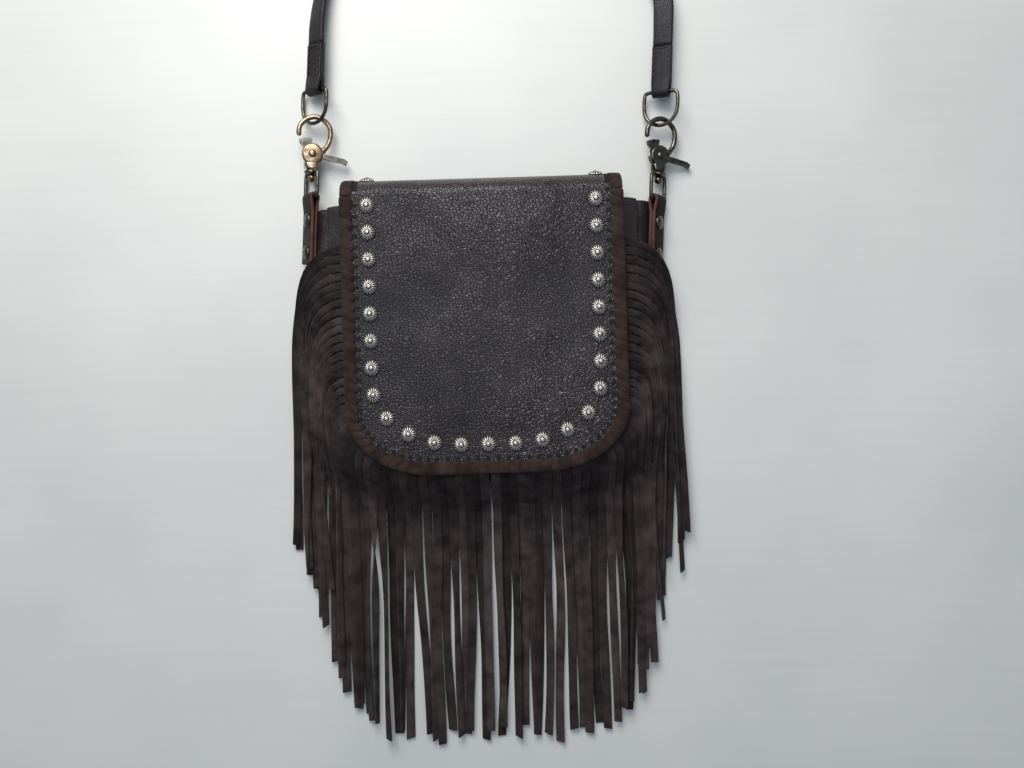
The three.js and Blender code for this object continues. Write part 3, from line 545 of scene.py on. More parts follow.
def make_strap():
    rings = []
    for i, point in enumerate(strap_path):
        roll = strap_roll(i / (len(strap_path) - 1))
        rings.append(strap_section(point, heading(strap_path, i), roll))
    strap = add_piece("strap", *loft(rings), strap_leather)
    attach(strap, "body")
    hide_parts("strap_run_left", "strap_run_right", "strap_coil")


make_strap()


# Fringe

SUEDE = 1.2
HEADER_TOP = 31.9
STRAND_PITCH = 5.4
SIDE_THROW = 38
CORNER_THROW = 8.8
HANG_PITCH = 1.5
LONGEST_STRAND = 206
SHORTEST_STRAND = 174
DRAPE = [(0, 31.3), (7, 31.2), (11, 28.4), (15, 25.8), (20, 21.6), (25, 16.4), (30, 10.6), (36, 5), (44, 1)]
SEAM_ABOVE_FRINGE = 40
STRAND_STEPS = 34
STRAND_SECTION = [(-1, -0.5), (-0.35, -0.5), (0.35, -0.5), (1, -0.5), (1, 0.5), (0.35, 0.5), (-0.35, 0.5),
                  (-1, 0.5)]
FREE_LAYERS = 26
seam_edge, _ = panel_edge(PANEL_HALF_WIDTH, FRINGE_TOP_Y + SEAM_ABOVE_FRINGE, PANEL_BOTTOM_Y, 3.0)
seam = [(p, seam_swell(abs(out.x) ** 1.5)) for p, _, out in seam_edge]


def height_by_seam(x, y, rest):
    """Height of a strand that lies over the gusset, by its distance from the seam."""
    nearest, swell = min(((p.x - x) ** 2 + (p.y - y) ** 2, s) for p, s in seam)
    distance = sqrt(nearest) / seam_swell(swell)
    for (d0, z0), (d1, z1) in zip(DRAPE, DRAPE[1:]):
        if distance < d1:
            return max(rest, z0 + (z1 - z0) * (distance - d0) / (d1 - d0))
    return rest


def strand_way(start, out, hang_x, length):
    """The way of a strand seen from above: square out of the seam, round, and down the bag."""
    reach = abs(hang_x - start.x)
    drop = 14 + 1.3 * reach
    turned = Vector((hang_x, start.y - drop))
    leaving = start + out * (6 + 0.6 * reach)
    arriving = Vector((hang_x, turned.y + 0.6 * drop))
    fine = []
    for i in range(33):
        t = i / 32
        u = 1 - t
        fine.append(start * u ** 3 + leaving * (3 * u * u * t) + arriving * (3 * u * t * t) + turned * t ** 3)
    fine.append(Vector((hang_x, turned.y - LONGEST_STRAND)))
    return spread(fine, running_lengths(fine), length, STRAND_STEPS)


def strand(start, out, hang_x, length, width, layer, over_tab, wander, tip_cut, on_side):
    """One strand of soft suede: flat at the seam, then free to twist and drift a little."""
    drift, twist, phase, wave = wander
    middle = []
    for i, place in enumerate(strand_way(start, out, hang_x, length)):
        run = length * i / STRAND_STEPS
        free = smooth_step((run - 25) / 90)
        x = place.x + free * (drift * (run / length) ** 1.5 + wave * sin(phase + run / 31))
        rest = 0.8 + layer * 1.15 + 0.5 * width * abs(sin(twist * free))
        drape = DRAPE[0][1] + (1 - DRAPE[0][1]) * smooth_step((run - 6) / 64)
        height = max(height_by_seam(x, place.y, rest), rest + over_tab * (drape - rest))
        middle.append(Vector((x, place.y, height + layer * 0.5 * smooth_step((run - 6) / 20))))
    rings = []
    cup = 0.35 * sin(phase + 1.1)
    for i, point in enumerate(middle):
        run = length * i / STRAND_STEPS
        along = heading(middle, i)
        across = along.cross(UP).normalized()
        lift = across.cross(along)
        arched = smooth_step((run - 3) / 6) * (1 - smooth_step((run - 60) / 60))
        lower = smooth_step((run - 30) / 60)
        pinch = (0.2 if on_side else 0) * arched + 0.1 * lower * sin(phase * 2 + run / 23) ** 2
        half = width / 2 * (1 - pinch)
        turn = twist * smooth_step((run - 20) / 80) * (1 + 0.25 * sin(phase + run / 47))
        turn += 0.3 * arched * (1 if on_side else 0.2)
        side = across * cos(turn) + lift * sin(turn)
        normal = lift * cos(turn) - across * sin(turn)
        slant = tip_cut if i == STRAND_STEPS else 0
        rings.append([
            point + side * (a * half) + normal * (b * SUEDE + cup * (1 - abs(a)) * 0.6) + along * (slant * a)
            for a, b in STRAND_SECTION
        ])
    return loft(rings)


def make_fringe(side):
    edge, total = panel_edge(PANEL_HALF_WIDTH, FRINGE_TOP_Y, PANEL_BOTTOM_Y, 0.5)
    half_length = total / 2
    margin = 0.6
    count = round((half_length - margin) / STRAND_PITCH)
    pitch = (half_length - margin) / count
    low = HEADER_TOP - SUEDE
    header = []
    for i in range(0, len(edge) // 2 + 1):
        if total * i / (len(edge) - 1) > half_length - margin:
            break
        point, _, out = edge[i]
        header.append([(point.x + out.x * d, point.y + out.y * d, z) for d, z in
                       ((-7, low), (1, low), (1, HEADER_TOP), (-7, HEADER_TOP))])
    parts = [loft(header)]
    last_hang = -1000
    for k in range(count):
        middle = (k + 0.5) * pitch
        point, _, out = edge[round(middle / total * (len(edge) - 1))]
        on_side = middle < FRINGE_TOP_Y - PANEL_BOTTOM_Y - CORNER_UP
        from_top = -PANEL_HALF_WIDTH - SIDE_THROW + HANG_PITCH * middle / pitch
        wanted = from_top if on_side else point.x + CORNER_THROW * out.x
        hang_x = max(last_hang + HANG_PITCH, wanted)
        last_hang = hang_x
        share = k / (count - 1)
        uneven = 3.5 * sin(2.3 * k + (0 if side < 0 else 1.7)) + 2 * sin(5.1 * k)
        length = LONGEST_STRAND + (SHORTEST_STRAND - LONGEST_STRAND) * share ** 0.6 + uneven
        drift = random.gauss(0, 3.4 if on_side else 2.4)
        twist = random.gauss(0, 0.6 if random.random() < 0.7 else 1.2)
        wander = (drift, twist, random.uniform(0, 6.3), random.uniform(0.3, 1.5))
        over_tab = 1 - smooth_step((k - 5) / 6)
        layer = random.choice((0, 1, 2, 3)) if k < FREE_LAYERS else k % 2
        width = pitch - 0.35 if on_side else pitch + 0.45
        start = Vector((point.x - out.x * 0.5, point.y - out.y * 0.5))
        parts.append(strand(start, out, hang_x, length, width, layer, over_tab, wander,
                            random.uniform(-0.9, 0.9), on_side))
    points, faces = merge(parts)
    if side > 0:
        points = [(-p[0], p[1], p[2]) for p in points]
        faces = [tuple(reversed(face)) for face in faces]
    name = "left" if side < 0 else "right"
    piece = add_piece(f"suede_fringe_{name}", points, faces, fringe_suede)
    bevelled(piece, 0.25, 2, 60)
    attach(piece, "body")
    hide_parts(f"fringe_{name}")


make_fringe(-1)
make_fringe(1)


# Flap and the fold over the top edge, one hide

def half_width_at(y, half_width, bottom_y):
    """Half the width of a panel with rounded lower corners, at a height on it."""
    into_corner = bottom_y + CORNER_UP - y
    if into_corner <= 0:
        return half_width
    share = min(1, into_corner / CORNER_UP)
    return half_width - CORNER_ACROSS * (1 - sqrt(max(0, 1 - share * share)))


def hide_ripple(x, y):
    """The soft rise and fall of a hide that has been carried for a while."""
    broad = sin(x / 23 + 0.6) * sin(y / 31 - 0.4) + 0.6 * sin(x / 41 - y / 37 + 1.9)
    near_edge = min(1, max(0, (PANEL_HALF_WIDTH - 26 - abs(x)) / 20))
    long_wave = 0.9 * cos((y + 62) / 27) * cos(x / 60)
    return (0.5 * broad + long_wave) * near_edge * min(1, max(0, (y - FLAP_BOTTOM_Y - 26) / 20))


def sheet_solid(rows, thickness_normals):
    """A sheet of leather: rows of points on its middle, and the half thickness vector of each."""
    count = len(rows[0])
    top = [[p + n for p, n in zip(row, normals)] for row, normals in zip(rows, thickness_normals)]
    bottom = [[p - n for p, n in zip(row, normals)] for row, normals in zip(rows, thickness_normals)]
    points = [p for row in top for p in row] + [p for row in bottom for p in row]
    low = len(rows) * count
    faces = []
    for r in range(len(rows) - 1):
        for i in range(count - 1):
            a, b = r * count + i, (r + 1) * count + i
            faces.append((a, b, b + 1, a + 1))
            faces.append((low + a, low + a + 1, low + b + 1, low + b))
    rim = list(range(count))
    rim += [r * count + count - 1 for r in range(1, len(rows))]
    rim += [(len(rows) - 1) * count + i for i in range(count - 2, -1, -1)]
    rim += [r * count for r in range(len(rows) - 2, 0, -1)]
    for a, b in zip(rim, rim[1:] + rim[:1]):
        faces.append((a, b, low + b, low + a))
    return points, faces


def fold_rows(turns, across):
    """Rows of a hide round the fold, and their half thickness vectors."""
    rows, normals = [], []
    for degrees in turns:
        y, z, out = fold_place(degrees)
        rows.append([Vector(((2 * i / across - 1) * PANEL_HALF_WIDTH, y, z)) for i in range(across + 1)])
        normals.append([out * (LEATHER / 2)] * (across + 1))
    return rows, normals


def outer_hide():
    """From low on the fold behind, over the top edge and down the front to the flap's foot."""
    across = 96
    rows, normals = fold_rows(range(-28, 90, 4), across)
    y = FOLD_Y
    top_z = FLAP_TOP_Z - LEATHER / 2
    while y > FLAP_BOTTOM_Y + 0.02:
        half = half_width_at(y, PANEL_HALF_WIDTH, FLAP_BOTTOM_Y)
        row = []
        for i in range(across + 1):
            x = (2 * i / across - 1) * half
            row.append(Vector((x, y, top_z + hide_ripple(x, y) * smooth_step((FOLD_Y - y) / 20))))
        rows.append(row)
        normals.append([Vector((0, 0, LEATHER / 2))] * (across + 1))
        left = y - FLAP_BOTTOM_Y
        y -= 2.0 if left > 12 else max(0.15, left * 0.22)
    hide = add_piece("outer_hide", *sheet_solid(rows, normals), flap_leather)
    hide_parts("flap")
    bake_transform(hide)


outer_hide()


# Lacing whipped round the edge

LACE_REACH = 7
LACE_THICKNESS = 1.3
LACE_GAP = 0.3
LACE_LEAN = 2.8
HOLE_HEIGHT = LEATHER / 2 + 0.06
RINGS_PER_STITCH = 10


def lacing(frame_at, length, lace_thickness):
    """A suede lace, stitch beside stitch: each is proud in its middle and pinched where it goes through."""
    stitches = round(length / STITCH_PITCH)
    steps = stitches * RINGS_PER_STITCH
    slot = LEATHER / 2 + 0.05
    rings = []
    for i in range(steps + 1):
        at, along, out, up = frame_at(i / steps)
        phase = (i / RINGS_PER_STITCH) % 1
        swell = sin(pi * phase) ** 0.5 if 0 < phase < 1 else 0
        fade = min(1, min(i, steps - i) / RINGS_PER_STITCH)
        inner = -(LACE_REACH - 1.6) - 1.6 * swell
        top = slot + lace_thickness * (0.5 + 0.42 * swell)
        tip = LACE_GAP + lace_thickness * (0.6 + 0.34 * swell)
        outline = [
            (inner, slot * 0.96), (inner + 0.15, slot + 0.5 * (top - slot)), (inner + 0.9, top - 0.12),
            (inner + 2.4, top), (-1.2, top), (0.35 * tip, 0.86 * top), (0.85 * tip, 0.5 * top), (tip, 0),
        ]
        outline += [(a, -b) for a, b in reversed(outline[:-1])]
        outline += [(0.15, -slot * 0.9), (0.15, slot * 0.9)]
        ring = []
        for a, b in outline:
            lean = (LACE_LEAN + 0.1) * fade * (1 if b > 0 else -1) * max(0, -a / LACE_REACH)
            ring.append(at + out * a + up * b + along * lean)
        rings.append(ring)
    return loft(rings)


def flap_frames():
    edge, length = panel_edge(PANEL_HALF_WIDTH, FLAP_START_Y, FLAP_BOTTOM_Y, 0.6)
    middle_z = FLAP_TOP_Z - LEATHER / 2

    def frame_at(share):
        point, along, out = edge[round(share * (len(edge) - 1))]
        return Vector((*point, middle_z)), Vector((*along, 0)), Vector((*out, 0)), UP
    return frame_at, length


def fold_frames(side):
    start, stop = 90, -55

    def frame_at(share):
        y, z, up = fold_place(start + (stop - start) * share)
        return Vector((side * PANEL_HALF_WIDTH, y, z)), Vector((0, up.z, -up.y)), Vector((side, 0, 0)), up
    return frame_at, 0.8 * (FOLD_REACH + FOLD_CENTRE_Z) * radians(start - stop)


def painted_hole_shades(frame_at, length):
    """Painted shade: a near-black disc on the leather at each stitch, where the lace goes through its hole.
    """
    stitches = round(length / STITCH_PITCH)
    parts = []
    for k in range(stitches):
        at, along, out, up = frame_at((k + 0.5) / stitches)
        centre = at - out * (LACE_REACH + 1.3) + up * HOLE_HEIGHT + along * LACE_LEAN
        ring = [centre + along * (1.4 * c) + out * (1.5 * s) for c, s in circle(12)]
        low = [p - up * 0.3 for p in ring]
        parts.append(loft([low, ring]))
    return merge(parts)


def make_lacing():
    for name, (frame_at, length), body in (
        ("flap_lacing", flap_frames(), "flap"),
        ("fold_lacing_left", fold_frames(-1), "body"),
        ("fold_lacing_right", fold_frames(1), "body"),
    ):
        thickness = LACE_THICKNESS if body == "flap" else 0.6 * LACE_THICKNESS
        lace = add_piece(f"suede_{name}", *lacing(frame_at, length, thickness), lace_suede)
        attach(lace, body)
        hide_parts(name)
        # Painted shade for the holes the lace goes through.
        holes = add_piece(f"painted_hole_shades_{name}", *painted_hole_shades(frame_at, length), hole_shade, False)
        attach(holes, body)


make_lacing()


# Ray studs: fluted domes with a button in the middle

STUD_RADIUS = 4.95
STUD_RAYS = 16
FOLD_STUD_ANGLE = 12


def stud_shape():
    """Levels are (radius, height, depth of the flutes)."""
    around = STUD_RAYS * 6
    levels = [
        (0.0, 2.75, 0), (0.7, 2.72, 0), (1.25, 2.5, 0), (1.5, 2.1, 0.1), (1.75, 2.0, 0.3), (2.5, 2.12, 0.7),
        (3.4, 1.85, 1.0), (4.2, 1.35, 1.0), (4.7, 0.85, 0.8), (STUD_RADIUS, 0.3, 0.3),
        (STUD_RADIUS * 0.98, -0.2, 0),
    ]
    points = [(0, 0, levels[0][1])]
    for radius, height, flute in levels[1:]:
        for i in range(around):
            angle = 2 * pi * i / around
            ridge = abs(cos(STUD_RAYS * angle / 2)) ** 0.7
            drop = 0.75 * flute * (1 - ridge)
            size = radius - (0.3 * flute * (1 - ridge) if radius > 4 else 0)
            points.append((size * cos(angle), size * sin(angle), height - drop))
    faces = [(0, 1 + i, 1 + (i + 1) % around) for i in range(around)]
    for r in range(len(levels) - 2):
        a, b = 1 + r * around, 1 + (r + 1) * around
        for i in range(around):
            j = (i + 1) % around
            faces.append((a + i, b + i, b + j, a + j))
    faces.append(tuple(1 + (len(levels) - 2) * around + i for i in reversed(range(around))))
    return points, faces


def make_studs():
    pattern = add_piece("stud_pattern", *stud_shape(), stud_metal)
    shape = pattern.data
    shape.materials.append(stud_patina_and_shade)
    for face in shape.polygons:
        across, up = face.center.xy.length / MM, face.center.z / MM
        turn = (atan2(face.center.y, face.center.x) * STUD_RAYS / (2 * pi)) % 1
        in_ring = 1.3 < across < 1.95
        in_flute = across > 1.9 and abs(turn - 0.5) < 0.13
        # Painted shade with the patina: faces in the groove, in the flutes and low at the rim take the
        # near-black finish.
        if in_ring or in_flute or up < 0.2:
            face.material_index = 1
    bpy.data.objects.remove(pattern)
    _, _, fold_out = fold_place(FOLD_STUD_ANGLE)
    for node in sorted(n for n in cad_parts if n.startswith("stud_")):
        low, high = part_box(node)
        centre = [(a + b) / 2 for a, b in zip(low, high)]
        on_fold = "fold" in node
        facing = fold_out if on_fold else UP
        piece = bpy.data.objects.new(f"ray_{node}", shape)
        scene.collection.objects.link(piece)
        if on_fold:
            place = Vector(centre) - facing * 1.35 * MM
        else:
            place = Vector((centre[0], centre[1], low[2]))
        turn = Matrix.Rotation(random.uniform(0, 1), 4, "Z")
        tilt = UP.rotation_difference(facing).to_matrix().to_4x4()
        piece.matrix_world = Matrix.Translation(place) @ tilt @ turn
        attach(piece, "body" if on_fold else "flap")
        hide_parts(node)


make_studs()


# Panels of the body

GUSSET_LEATHER = 1.5
GUSSET_TOP_Y = 77
GUSSET_PROFILE = [(-5, 29.65), (1, 29.65), (7.1, 27), (10.75, 22.5), (9.25, 18.5), (15.5, 17), (21.5, 12),
                  (20.4, 6.5), (11.8, 3.25), (-5, 2.85)]
EYE_BAR_Y = -28
TAB_LENGTH = 42
TAB_WIDTH = 14
FRONT_TOP_Y = 58
FRONT_TOP_DIP = 5
SEAM_INSET = 3.2
LINING_INSET = 7
LINING_BOTTOM_Y = -80


def back_sheet():
    """The same hide behind: the flat of the back and its turn up into the fold."""
    across = 48
    rows, normals = [], []
    y = PANEL_BOTTOM_Y
    while y < FOLD_Y:
        half = half_width_at(max(y, PANEL_BOTTOM_Y + 0.05), PANEL_HALF_WIDTH, PANEL_BOTTOM_Y)
        row = []
        for i in range(across + 1):
            x = (2 * i / across - 1) * half
            lift = 0.12 + 0.12 * sin(x / 19) * sin(y / 23)
            row.append(Vector((x, y, LEATHER / 2 + lift)))
        rows.append(row)
        normals.append([Vector((0, 0, -LEATHER / 2))] * (across + 1))
        up = y - PANEL_BOTTOM_Y
        y += 3.0 if up > 14 else max(0.2, up * 0.25)
    turned, leaning = fold_rows(range(-90, -25, 4), across)
    sheet = add_piece("back_hide", *sheet_solid(rows + turned, normals + leaning), flap_leather)
    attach(sheet, "body")
    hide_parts("back_panel")


def front_sheet():
    low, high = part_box("front_panel")
    middle_z = (low[2] + high[2]) / 2 / MM
    across = 60
    rows, normals = [], []
    steps = 70
    for r in range(steps + 1):
        share = (r / steps) ** 1.6
        row = []
        for i in range(across + 1):
            u = 2 * i / across - 1
            top = FRONT_TOP_Y - FRONT_TOP_DIP * (1 - u * u)
            y = PANEL_BOTTOM_Y + 0.05 + (top - PANEL_BOTTOM_Y) * share
            x = u * half_width_at(y, PANEL_HALF_WIDTH, PANEL_BOTTOM_Y)
            row.append(Vector((x, y, middle_z + 0.18 * sin(x / 17 + 1) * sin(y / 21))))
        rows.append(row)
        normals.append([Vector((0, 0, -LEATHER / 2))] * (across + 1))
    sheet = add_piece("front_hide", *sheet_solid(rows, normals), flap_leather)
    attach(sheet, "body")
    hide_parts("front_panel")
    edge, _ = panel_edge(PANEL_HALF_WIDTH - SEAM_INSET, FRONT_TOP_Y - 3, PANEL_BOTTOM_Y + SEAM_INSET, 0.8)
    thread_z = middle_z + LEATHER / 2 + 0.12
    places = []
    for point, along, _ in edge[::5]:
        turn = Matrix.Rotation(atan2(along.y, along.x), 4, "Z")
        places.append(Matrix.Translation((*point, thread_z)) @ turn)
    stitching("front_seam", places, "body")
    lining_sheet("lining_front", middle_z - LEATHER / 2 - 0.6)
    lining_sheet("lining_back", LEATHER + 0.9)


def lining_sheet(name, height):
    """One side of the cotton lining, loose enough to pucker."""
    rows, normals = [], []
    for r in range(30):
        y = LINING_BOTTOM_Y + (FRONT_TOP_Y - 8 - LINING_BOTTOM_Y) * r / 29
        half = half_width_at(y, PANEL_HALF_WIDTH - LINING_INSET, LINING_BOTTOM_Y - 1)
        row = []
        for i in range(31):
            row.append(Vector(((i / 15 - 1) * half, y, height + 0.25 * sin(i * 0.9 + r * 0.7))))
        rows.append(row)
        normals.append([Vector((0, 0, 0.2))] * 31)
    lining = add_piece(name, *sheet_solid(rows, normals), lining_cloth)
    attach(lining, "body")


def stitching(name, places, body, length=2.5):
    """Thread stitches: short rounded bars that sink at both ends."""
    shares = (0, 0.15, 0.35, 0.65, 0.85, 1)
    bar = tube([Vector((length * (t - 0.5), 0, 0.3 * sin(pi * t))) for t in shares], 0.34, 8)
    piece = add_piece(name, *merge([moved(bar, place) for place in places]), thread)
    if body:
        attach(piece, body)
    return piece


def tab_seat(at):
    """(out, z) of the two ends of the gusset's flat place under a tab."""
    side = "left" if at.x < 0 else "right"
    local_y = at.y - HOOKS[side]["y"]
    centre = abs((hook_matrix(side, 0) @ Vector((0, local_y, 0))).x) - PANEL_HALF_WIDTH
    tilt = radians(abs(HOOKS[side]["eye_tilt"]))
    back = 3.4 + 1.5 * smooth_step((local_y - EYE_BAR_Y + 9) / 8)

    def along_tab(t):
        return (centre - back * sin(tilt) - t * cos(tilt),
                HOOK_HEIGHT - back * cos(tilt) + t * sin(tilt))
    return along_tab(TAB_WIDTH / 2 - 0.5), along_tab(-2)


def gusset_line(at, out):
    """The gusset's section at a place on the edge, from the front panel to the back."""
    swell = seam_swell(abs(out.x) ** 1.5)
    line = [[d * swell if d > 1 else d, z] for d, z in GUSSET_PROFILE]
    side = "left" if at.x < 0 else "right"
    foot_y = HOOKS[side]["y"] + EYE_BAR_Y - TAB_LENGTH
    share = smooth_step((at.y - foot_y + 28) / 14)
    top, foot = tab_seat(at)
    for i, goal in ((5, (0.8 * top[0], GUSSET_PROFILE[5][1])), (6, top), (7, foot)):
        line[i] = [line[i][0] + (goal[0] - line[i][0]) * share, line[i][1] + (goal[1] - line[i][1]) * share]
    return spline([(d, z, 0) for d, z in line], 46)


def soft_gusset():
    edge, _ = panel_edge(PANEL_HALF_WIDTH, GUSSET_TOP_Y, PANEL_BOTTOM_Y, 3.0)
    rings = []
    for k, (at, _, out) in enumerate(edge):
        line = gusset_line(at, out)
        outer, inner = [], []
        for i, p in enumerate(line):
            run = heading(line, i)
            normal = Vector((run.y, -run.x, 0))
            middle = sin(pi * i / (len(line) - 1))
            pucker = 0.35 * sin(k * 0.83 + 2.1 * sin(i / 7)) + 0.2 * sin(k * 0.31 + i * 0.45)
            for side, group in ((-1, outer), (1, inner)):
                q = p - normal * (side * GUSSET_LEATHER / 2 + middle * pucker)
                group.append((at.x + out.x * q.x, at.y + out.y * q.x, q.y))
        rings.append(outer + inner[::-1])
    piece = add_piece("soft_gusset", *loft(rings), gusset_leather)
    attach(piece, "body")
    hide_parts("gusset")


back_sheet()
front_sheet()
soft_gusset()


# Tabs and strap ends: leather folded round a wire

TAB_THICKNESS = 2.0
TAB_RIVET_DROPS = (14.5, 35)
RIVET_SEAT = 2.05
RING_BAR_Y = 41.1
STRIP_SIDES = [(-1, 0), (-0.985, -0.7), (-0.9, -1), (-0.3, -1.04), (0.3, -1.04), (0.9, -1), (0.985, -0.7),
               (1, 0), (0.985, 0.7), (0.9, 1), (0.3, 1.04), (-0.3, 1.04), (-0.9, 1), (-0.985, 0.7)]
STRIP_EDGES = {13, 0, 6, 7, 1, 8, 12}


def folded_path(bar_y, far_y, leg, loop, toward):
    """Up one leg, round the wire and back down the other. toward is 1 where the legs lie at a higher y."""
    taper = bar_y + toward * 9
    path = [(far_y + (taper - far_y) * i / 14, leg) for i in range(15)]
    for degrees in range(0, 181, 12):
        angle = radians(90 + degrees) if toward > 0 else radians(90 - degrees)
        path.append((bar_y + loop * cos(angle), loop * sin(angle)))
    path += [(taper + (far_y - taper) * i / 14, -leg) for i in range(15)]
    return [Vector((0, p.x, p.y)) for p in spline([(y, z, 0) for y, z in path], 90)]


def folded_strip(name, path, width_at, thickness, place, material, edge_material):
    rings = []
    for i, point in enumerate(path):
        run = heading(path, i)
        normal = Vector((0, -run.z, run.y))
        half = width_at(point.y) / 2
        ring = [point + Vector((a * half, 0, 0)) + normal * (b * thickness / 2) for a, b in STRIP_SIDES]
        rings.append(ring)
    points, faces = moved(loft(rings), place)
    piece = add_piece(name, points, faces, material)
    piece.data.materials.append(edge_material)
    for k, face in enumerate(piece.data.polygons):
        if k % len(STRIP_SIDES) in STRIP_EDGES:
            face.material_index = 1
    return piece


def dome_rivet(name, place, material, radius, height, seat):
    shares = [(0, 1), (0.35, 0.97), (0.68, 0.78), (0.9, 0.45), (1, 0.12), (0.97, 0), (0, 0)]
    dome = [(radius * across, seat + height * up) for across, up in shares]
    return add_piece(name, *moved(lathe(dome, 32), place), material)


def make_tab(side):
    place = hook_matrix(side, HOOKS[side]["eye_tilt"])
    path = folded_path(EYE_BAR_Y, EYE_BAR_Y - TAB_LENGTH, 1.1, 2.5, -1)

    def width_at(y):
        return TAB_WIDTH - 1.2 * smooth_step((y + 33) / 6)

    tab = folded_strip(f"{side}_folded_tab", path, width_at, TAB_THICKNESS, place, tab_leather, edge_suede)
    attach(tab, "body")
    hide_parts(f"{side}_tab")
    for k, drop in enumerate(TAB_RIVET_DROPS):
        spot = place @ Matrix.Translation((0, EYE_BAR_Y - drop, 0))
        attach(dome_rivet(f"{side}_tab_rivet_{k + 1}", spot, gun_metal, 4.6, 1.9, RIVET_SEAT), "body")
        back = spot @ Matrix.Rotation(pi, 4, "Y")
        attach(dome_rivet(f"{side}_tab_rivet_back_{k + 1}", back, gun_metal, 3.7, 0.7, RIVET_SEAT), "body")


def make_strap_end(side):
    place = hook_matrix(side, HOOKS[side]["ring_tilt"])
    path = folded_path(RING_BAR_Y, STRAP_FOLD_END, 1.05, 2.55, 1)

    def width_at(y):
        return STRAP_WIDTH - 1.6 * (1 - smooth_step((y - 40) / 9))

    end = folded_strip(f"{side}_folded_end", path, width_at, 2.05, place, strap_leather, strap_leather)
    lengthwise = Matrix.Rotation(pi / 2, 4, "Z")
    spots = []
    for x in (-4.6, 4.6):
        for i in range(5):
            spots.append(place @ Matrix.Translation((x, 52 + 3.8 * i, 2.12)) @ lengthwise)
    for i in range(3):
        spots.append(place @ Matrix.Translation((-3.1 + 3.1 * i, 68.6, 2.12)))
    sewing = stitching(f"{side}_end_stitches", spots, None, 2.4)
    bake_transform(end)
    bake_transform(sewing)
    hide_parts(f"{side}_strap_end")


# Snap hooks

BOW_WIRE = 1.6
RING_WIRE = 1.2
RING_HALF_WIDTH = 11.05
RING_FOOT_Y = 19.9
RING_DROP = 1
BOW = [(2.6, -0.6), (4.6, 0.9), (6.6, 2.6), (9.4, 6.4), (10.9, 12), (10.1, 18), (5.6, 22.6), (1, 24),
       (-4, 22.5), (-8, 18.5), (-9, 14.5), (-8.7, 11.2)]
EYE = [(-7, -11.5), (7, -11.5), (8.4, -12.1), (9, -13.5), (9, -26), (8.4, -27.4), (7, EYE_BAR_Y),
       (-7, EYE_BAR_Y), (-8.4, -27.4), (-9, -26), (-9, -13.5), (-8.4, -12.1)]
CHEEK = [(0, 2.8), (5.3, 2.75), (6.15, 2.55), (6.6, 2.1), (6.5, 1.72), (0, 1.66)]
NECK = [(-4.9, 4.6, 2.6), (-6.5, 4.5, 2.75), (-8.4, 4.1, 2.8), (-9.6, 3.7, 2.7), (-9.95, 3.3, 2.4)]
STEM = [(0, -9.0), (1.6, -9.1), (1.6, -13.2), (2.3, -13.7), (2.7, -15.1), (2.2, -16.7), (1.2, -17.6),
        (0, -17.85)]
BELL = [(0, -10.35), (2.9, -10.35), (4.2, -10.6), (4.8, -11.2), (4.75, -12.1), (4.3, -12.7), (0, -12.72)]


def flat(points):
    return [(x, y, 0) for x, y in points]


def bow_radius(share):
    """Thicker at the root, and rounded off at the tip."""
    if share < 0.16:
        return BOW_WIRE + 1 - smooth_step(share / 0.16)
    if share > 0.975:
        return BOW_WIRE * sqrt(max(0.04, 1 - ((share - 0.975) / 0.025) ** 2))
    return BOW_WIRE


def turned_y(profile, segments):
    """A turned shape about the hook's length from (radius, y) pairs."""
    return moved(lathe(profile, segments), Matrix.Rotation(-pi / 2, 4, "X"))


def neck_ring(y, half, deep):
    """A rounded rectangle across the hook."""
    def rounded(share):
        return copysign(abs(share) ** 0.6, share)
    return [Vector((half * rounded(c), y, deep * rounded(s))) for c, s in circle(24)]


def wire_loop(points):
    return tube(spline(flat(points), 120, True), RING_WIRE, 14, True)


def make_hook(side):
    hook = HOOKS[side]
    clip = hook_matrix(side, hook["hook_tilt"])
    cast = warm_metal if side == "left" else gun_metal
    parts = [tube(spline(flat(BOW), 110), bow_radius, 18), lathe(CHEEK, 48)]
    parts.append(moved(lathe(CHEEK, 48), Matrix.Rotation(pi, 4, "X")))
    parts.append(loft([neck_ring(*section) for section in NECK]))
    parts.append(turned_y(STEM, 36))
    body = add_piece(f"{side}_cast_hook", *moved(merge(parts), clip), cast)
    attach(body, f"{side}_clip")
    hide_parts(f"{side}_hook_body")
    for k, turn in enumerate((0, pi)):
        spot = clip @ Matrix.Rotation(turn, 4, "X")
        rivet = dome_rivet(f"{side}_gate_rivet_{k + 1}", spot, cast, 2.5, 1.2, 2.95)
        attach(rivet, f"{side}_clip")
        if k == 0:
            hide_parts(f"{side}_trigger_rivet")
    place = hook_matrix(side, hook["eye_tilt"])
    bell_and_eye = merge([wire_loop(EYE), turned_y(BELL, 40)])
    eye = add_piece(f"{side}_bell_and_eye", *moved(bell_and_eye, place), gun_metal)
    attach(eye, "body")
    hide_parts(f"{side}_swivel_eye")
    half, bar = RING_HALF_WIDTH, RING_BAR_Y
    ring = [(-half + 2.6, bar), (0, bar), (half - 2.6, bar), (half - 0.7, bar - 0.8), (half, bar - 3)]
    for i in range(9):
        angle = -pi * i / 8
        ring.append((half * cos(angle), RING_FOOT_Y + half + half * sin(angle)))
    ring += [(-half, bar - 3), (-half + 0.7, bar - 0.8)]
    about_bar = Matrix.Translation((0, bar, 0))
    drop = about_bar @ Matrix.Rotation(radians(RING_DROP), 4, "X") @ about_bar.inverted()
    wire = moved(wire_loop(ring), hook_matrix(side, hook["ring_tilt"]) @ drop)
    d_ring = add_piece(f"{side}_wire_ring", *wire, gun_metal)
    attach(d_ring, f"{side}_d_ring")
    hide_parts(f"{side}_d_ring")
    make_tab(side)
    make_strap_end(side)


make_hook("left")
make_hook("right")


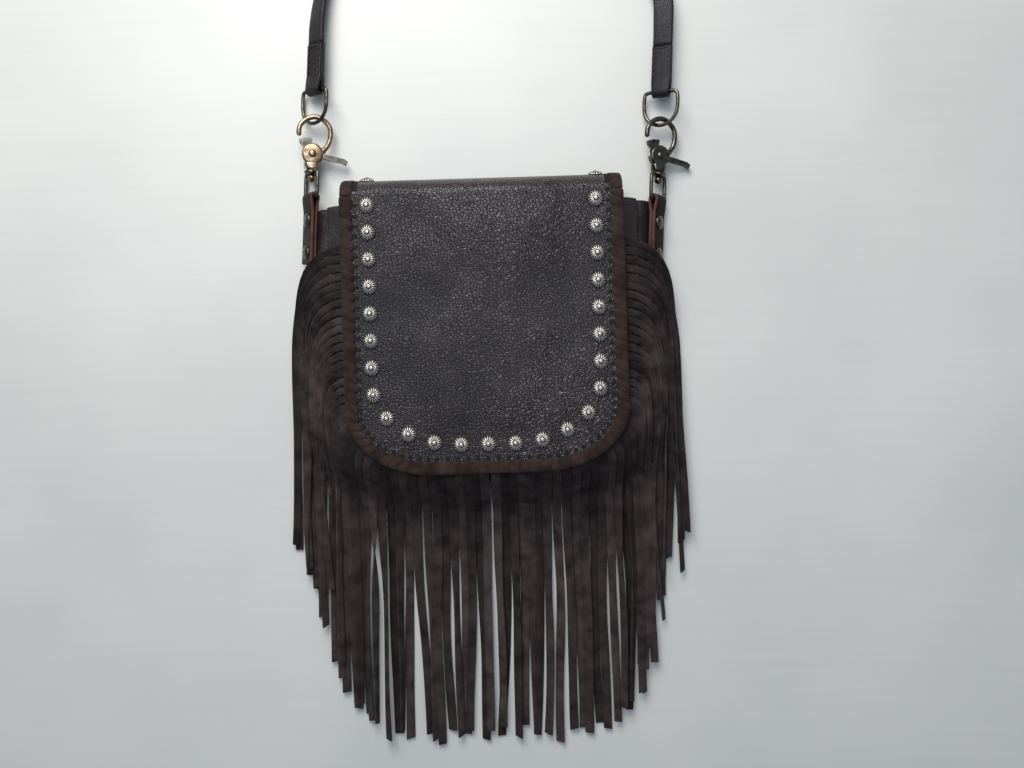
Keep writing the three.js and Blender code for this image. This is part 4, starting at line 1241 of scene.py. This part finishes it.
# Finishes of the CAD pieces that stay: gates, springs and the magnetic snap

FINISHES = {"magnet_socket": gun_metal, "magnet_stud": gun_metal}
for side in ("left", "right"):
    FINISHES[f"{side}_trigger"] = gun_metal
    FINISHES[f"{side}_trigger_spring"] = gun_metal
for name, material in FINISHES.items():
    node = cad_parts[name]
    if node.material_slots:
        node.material_slots[0].material = material
    else:
        node.data.materials.append(material)
    bevelled(node, 0.35 if "spring" not in name else 0.1, 3, 40)


# Floor, light and world

def painted_wood():
    """White gloss paint on pine, with faint brush strokes and slightly cloudy tones."""
    finish = Finish("white_painted_pine", "#c9cdcc", 0.38)
    coords = finish.place.outputs["Object"]
    along = finish.add("ShaderNodeMapping", values={"Scale": (9, 260, 1)}, links={"Vector": coords})
    strokes = finish.noise(1000, 4.0, along.outputs["Vector"], Roughness=0.65)
    cloudy = finish.noise(200, 3.0, coords)
    tone = finish.ramp(cloudy, [(0.3, "#c6c9c7"), (0.7, "#d4d6d3")])
    streak = finish.ramp(strokes, [(0.3, 0.97), (0.7, 1.0)])
    finish.feed("Base Color", finish.times(tone, streak))
    brushed = finish.bump(strokes, 0.06, 0.4)
    uneven = finish.bump(cloudy, 1.5, 0.4, brushed)
    finish.feed("Normal", uneven)
    return finish.material


BOARD_HALF = 900
corners = [(x * BOARD_HALF, y * BOARD_HALF, 0) for x, y in ((-1, -1), (1, -1), (1, 1), (-1, 1))]
board = add_piece("painted_board", corners, [(0, 1, 2, 3)], painted_wood())


def area_light(name, place, target, size, power, colour):
    light = bpy.data.objects.new(name, bpy.data.lights.new(name, "AREA"))
    light.data.shape = "RECTANGLE"
    light.data.size, light.data.size_y = size
    light.data.energy = power
    light.data.color = linear(colour)[:3]
    light.location = place
    light.rotation_euler = (Vector(target) - Vector(place)).to_track_quat("-Z", "Y").to_euler()
    scene.collection.objects.link(light)


area_light("window_light", (-0.19, 0.68, 0.74), (0, 0.02, 0), (0.6, 0.6), 11, "#fffaf3")
area_light("ceiling_glow", (-0.1, 0.22, 1.25), (-0.02, 0.02, 0), (0.5, 0.5), 3.2, "#e6efff")

world = bpy.data.worlds.new("studio")
world.use_nodes = True
world.node_tree.nodes["Background"].inputs["Color"].default_value = linear("#d9e2ee")
world.node_tree.nodes["Background"].inputs["Strength"].default_value = 0.36
scene.world = world
scene.view_settings.view_transform = "Standard"
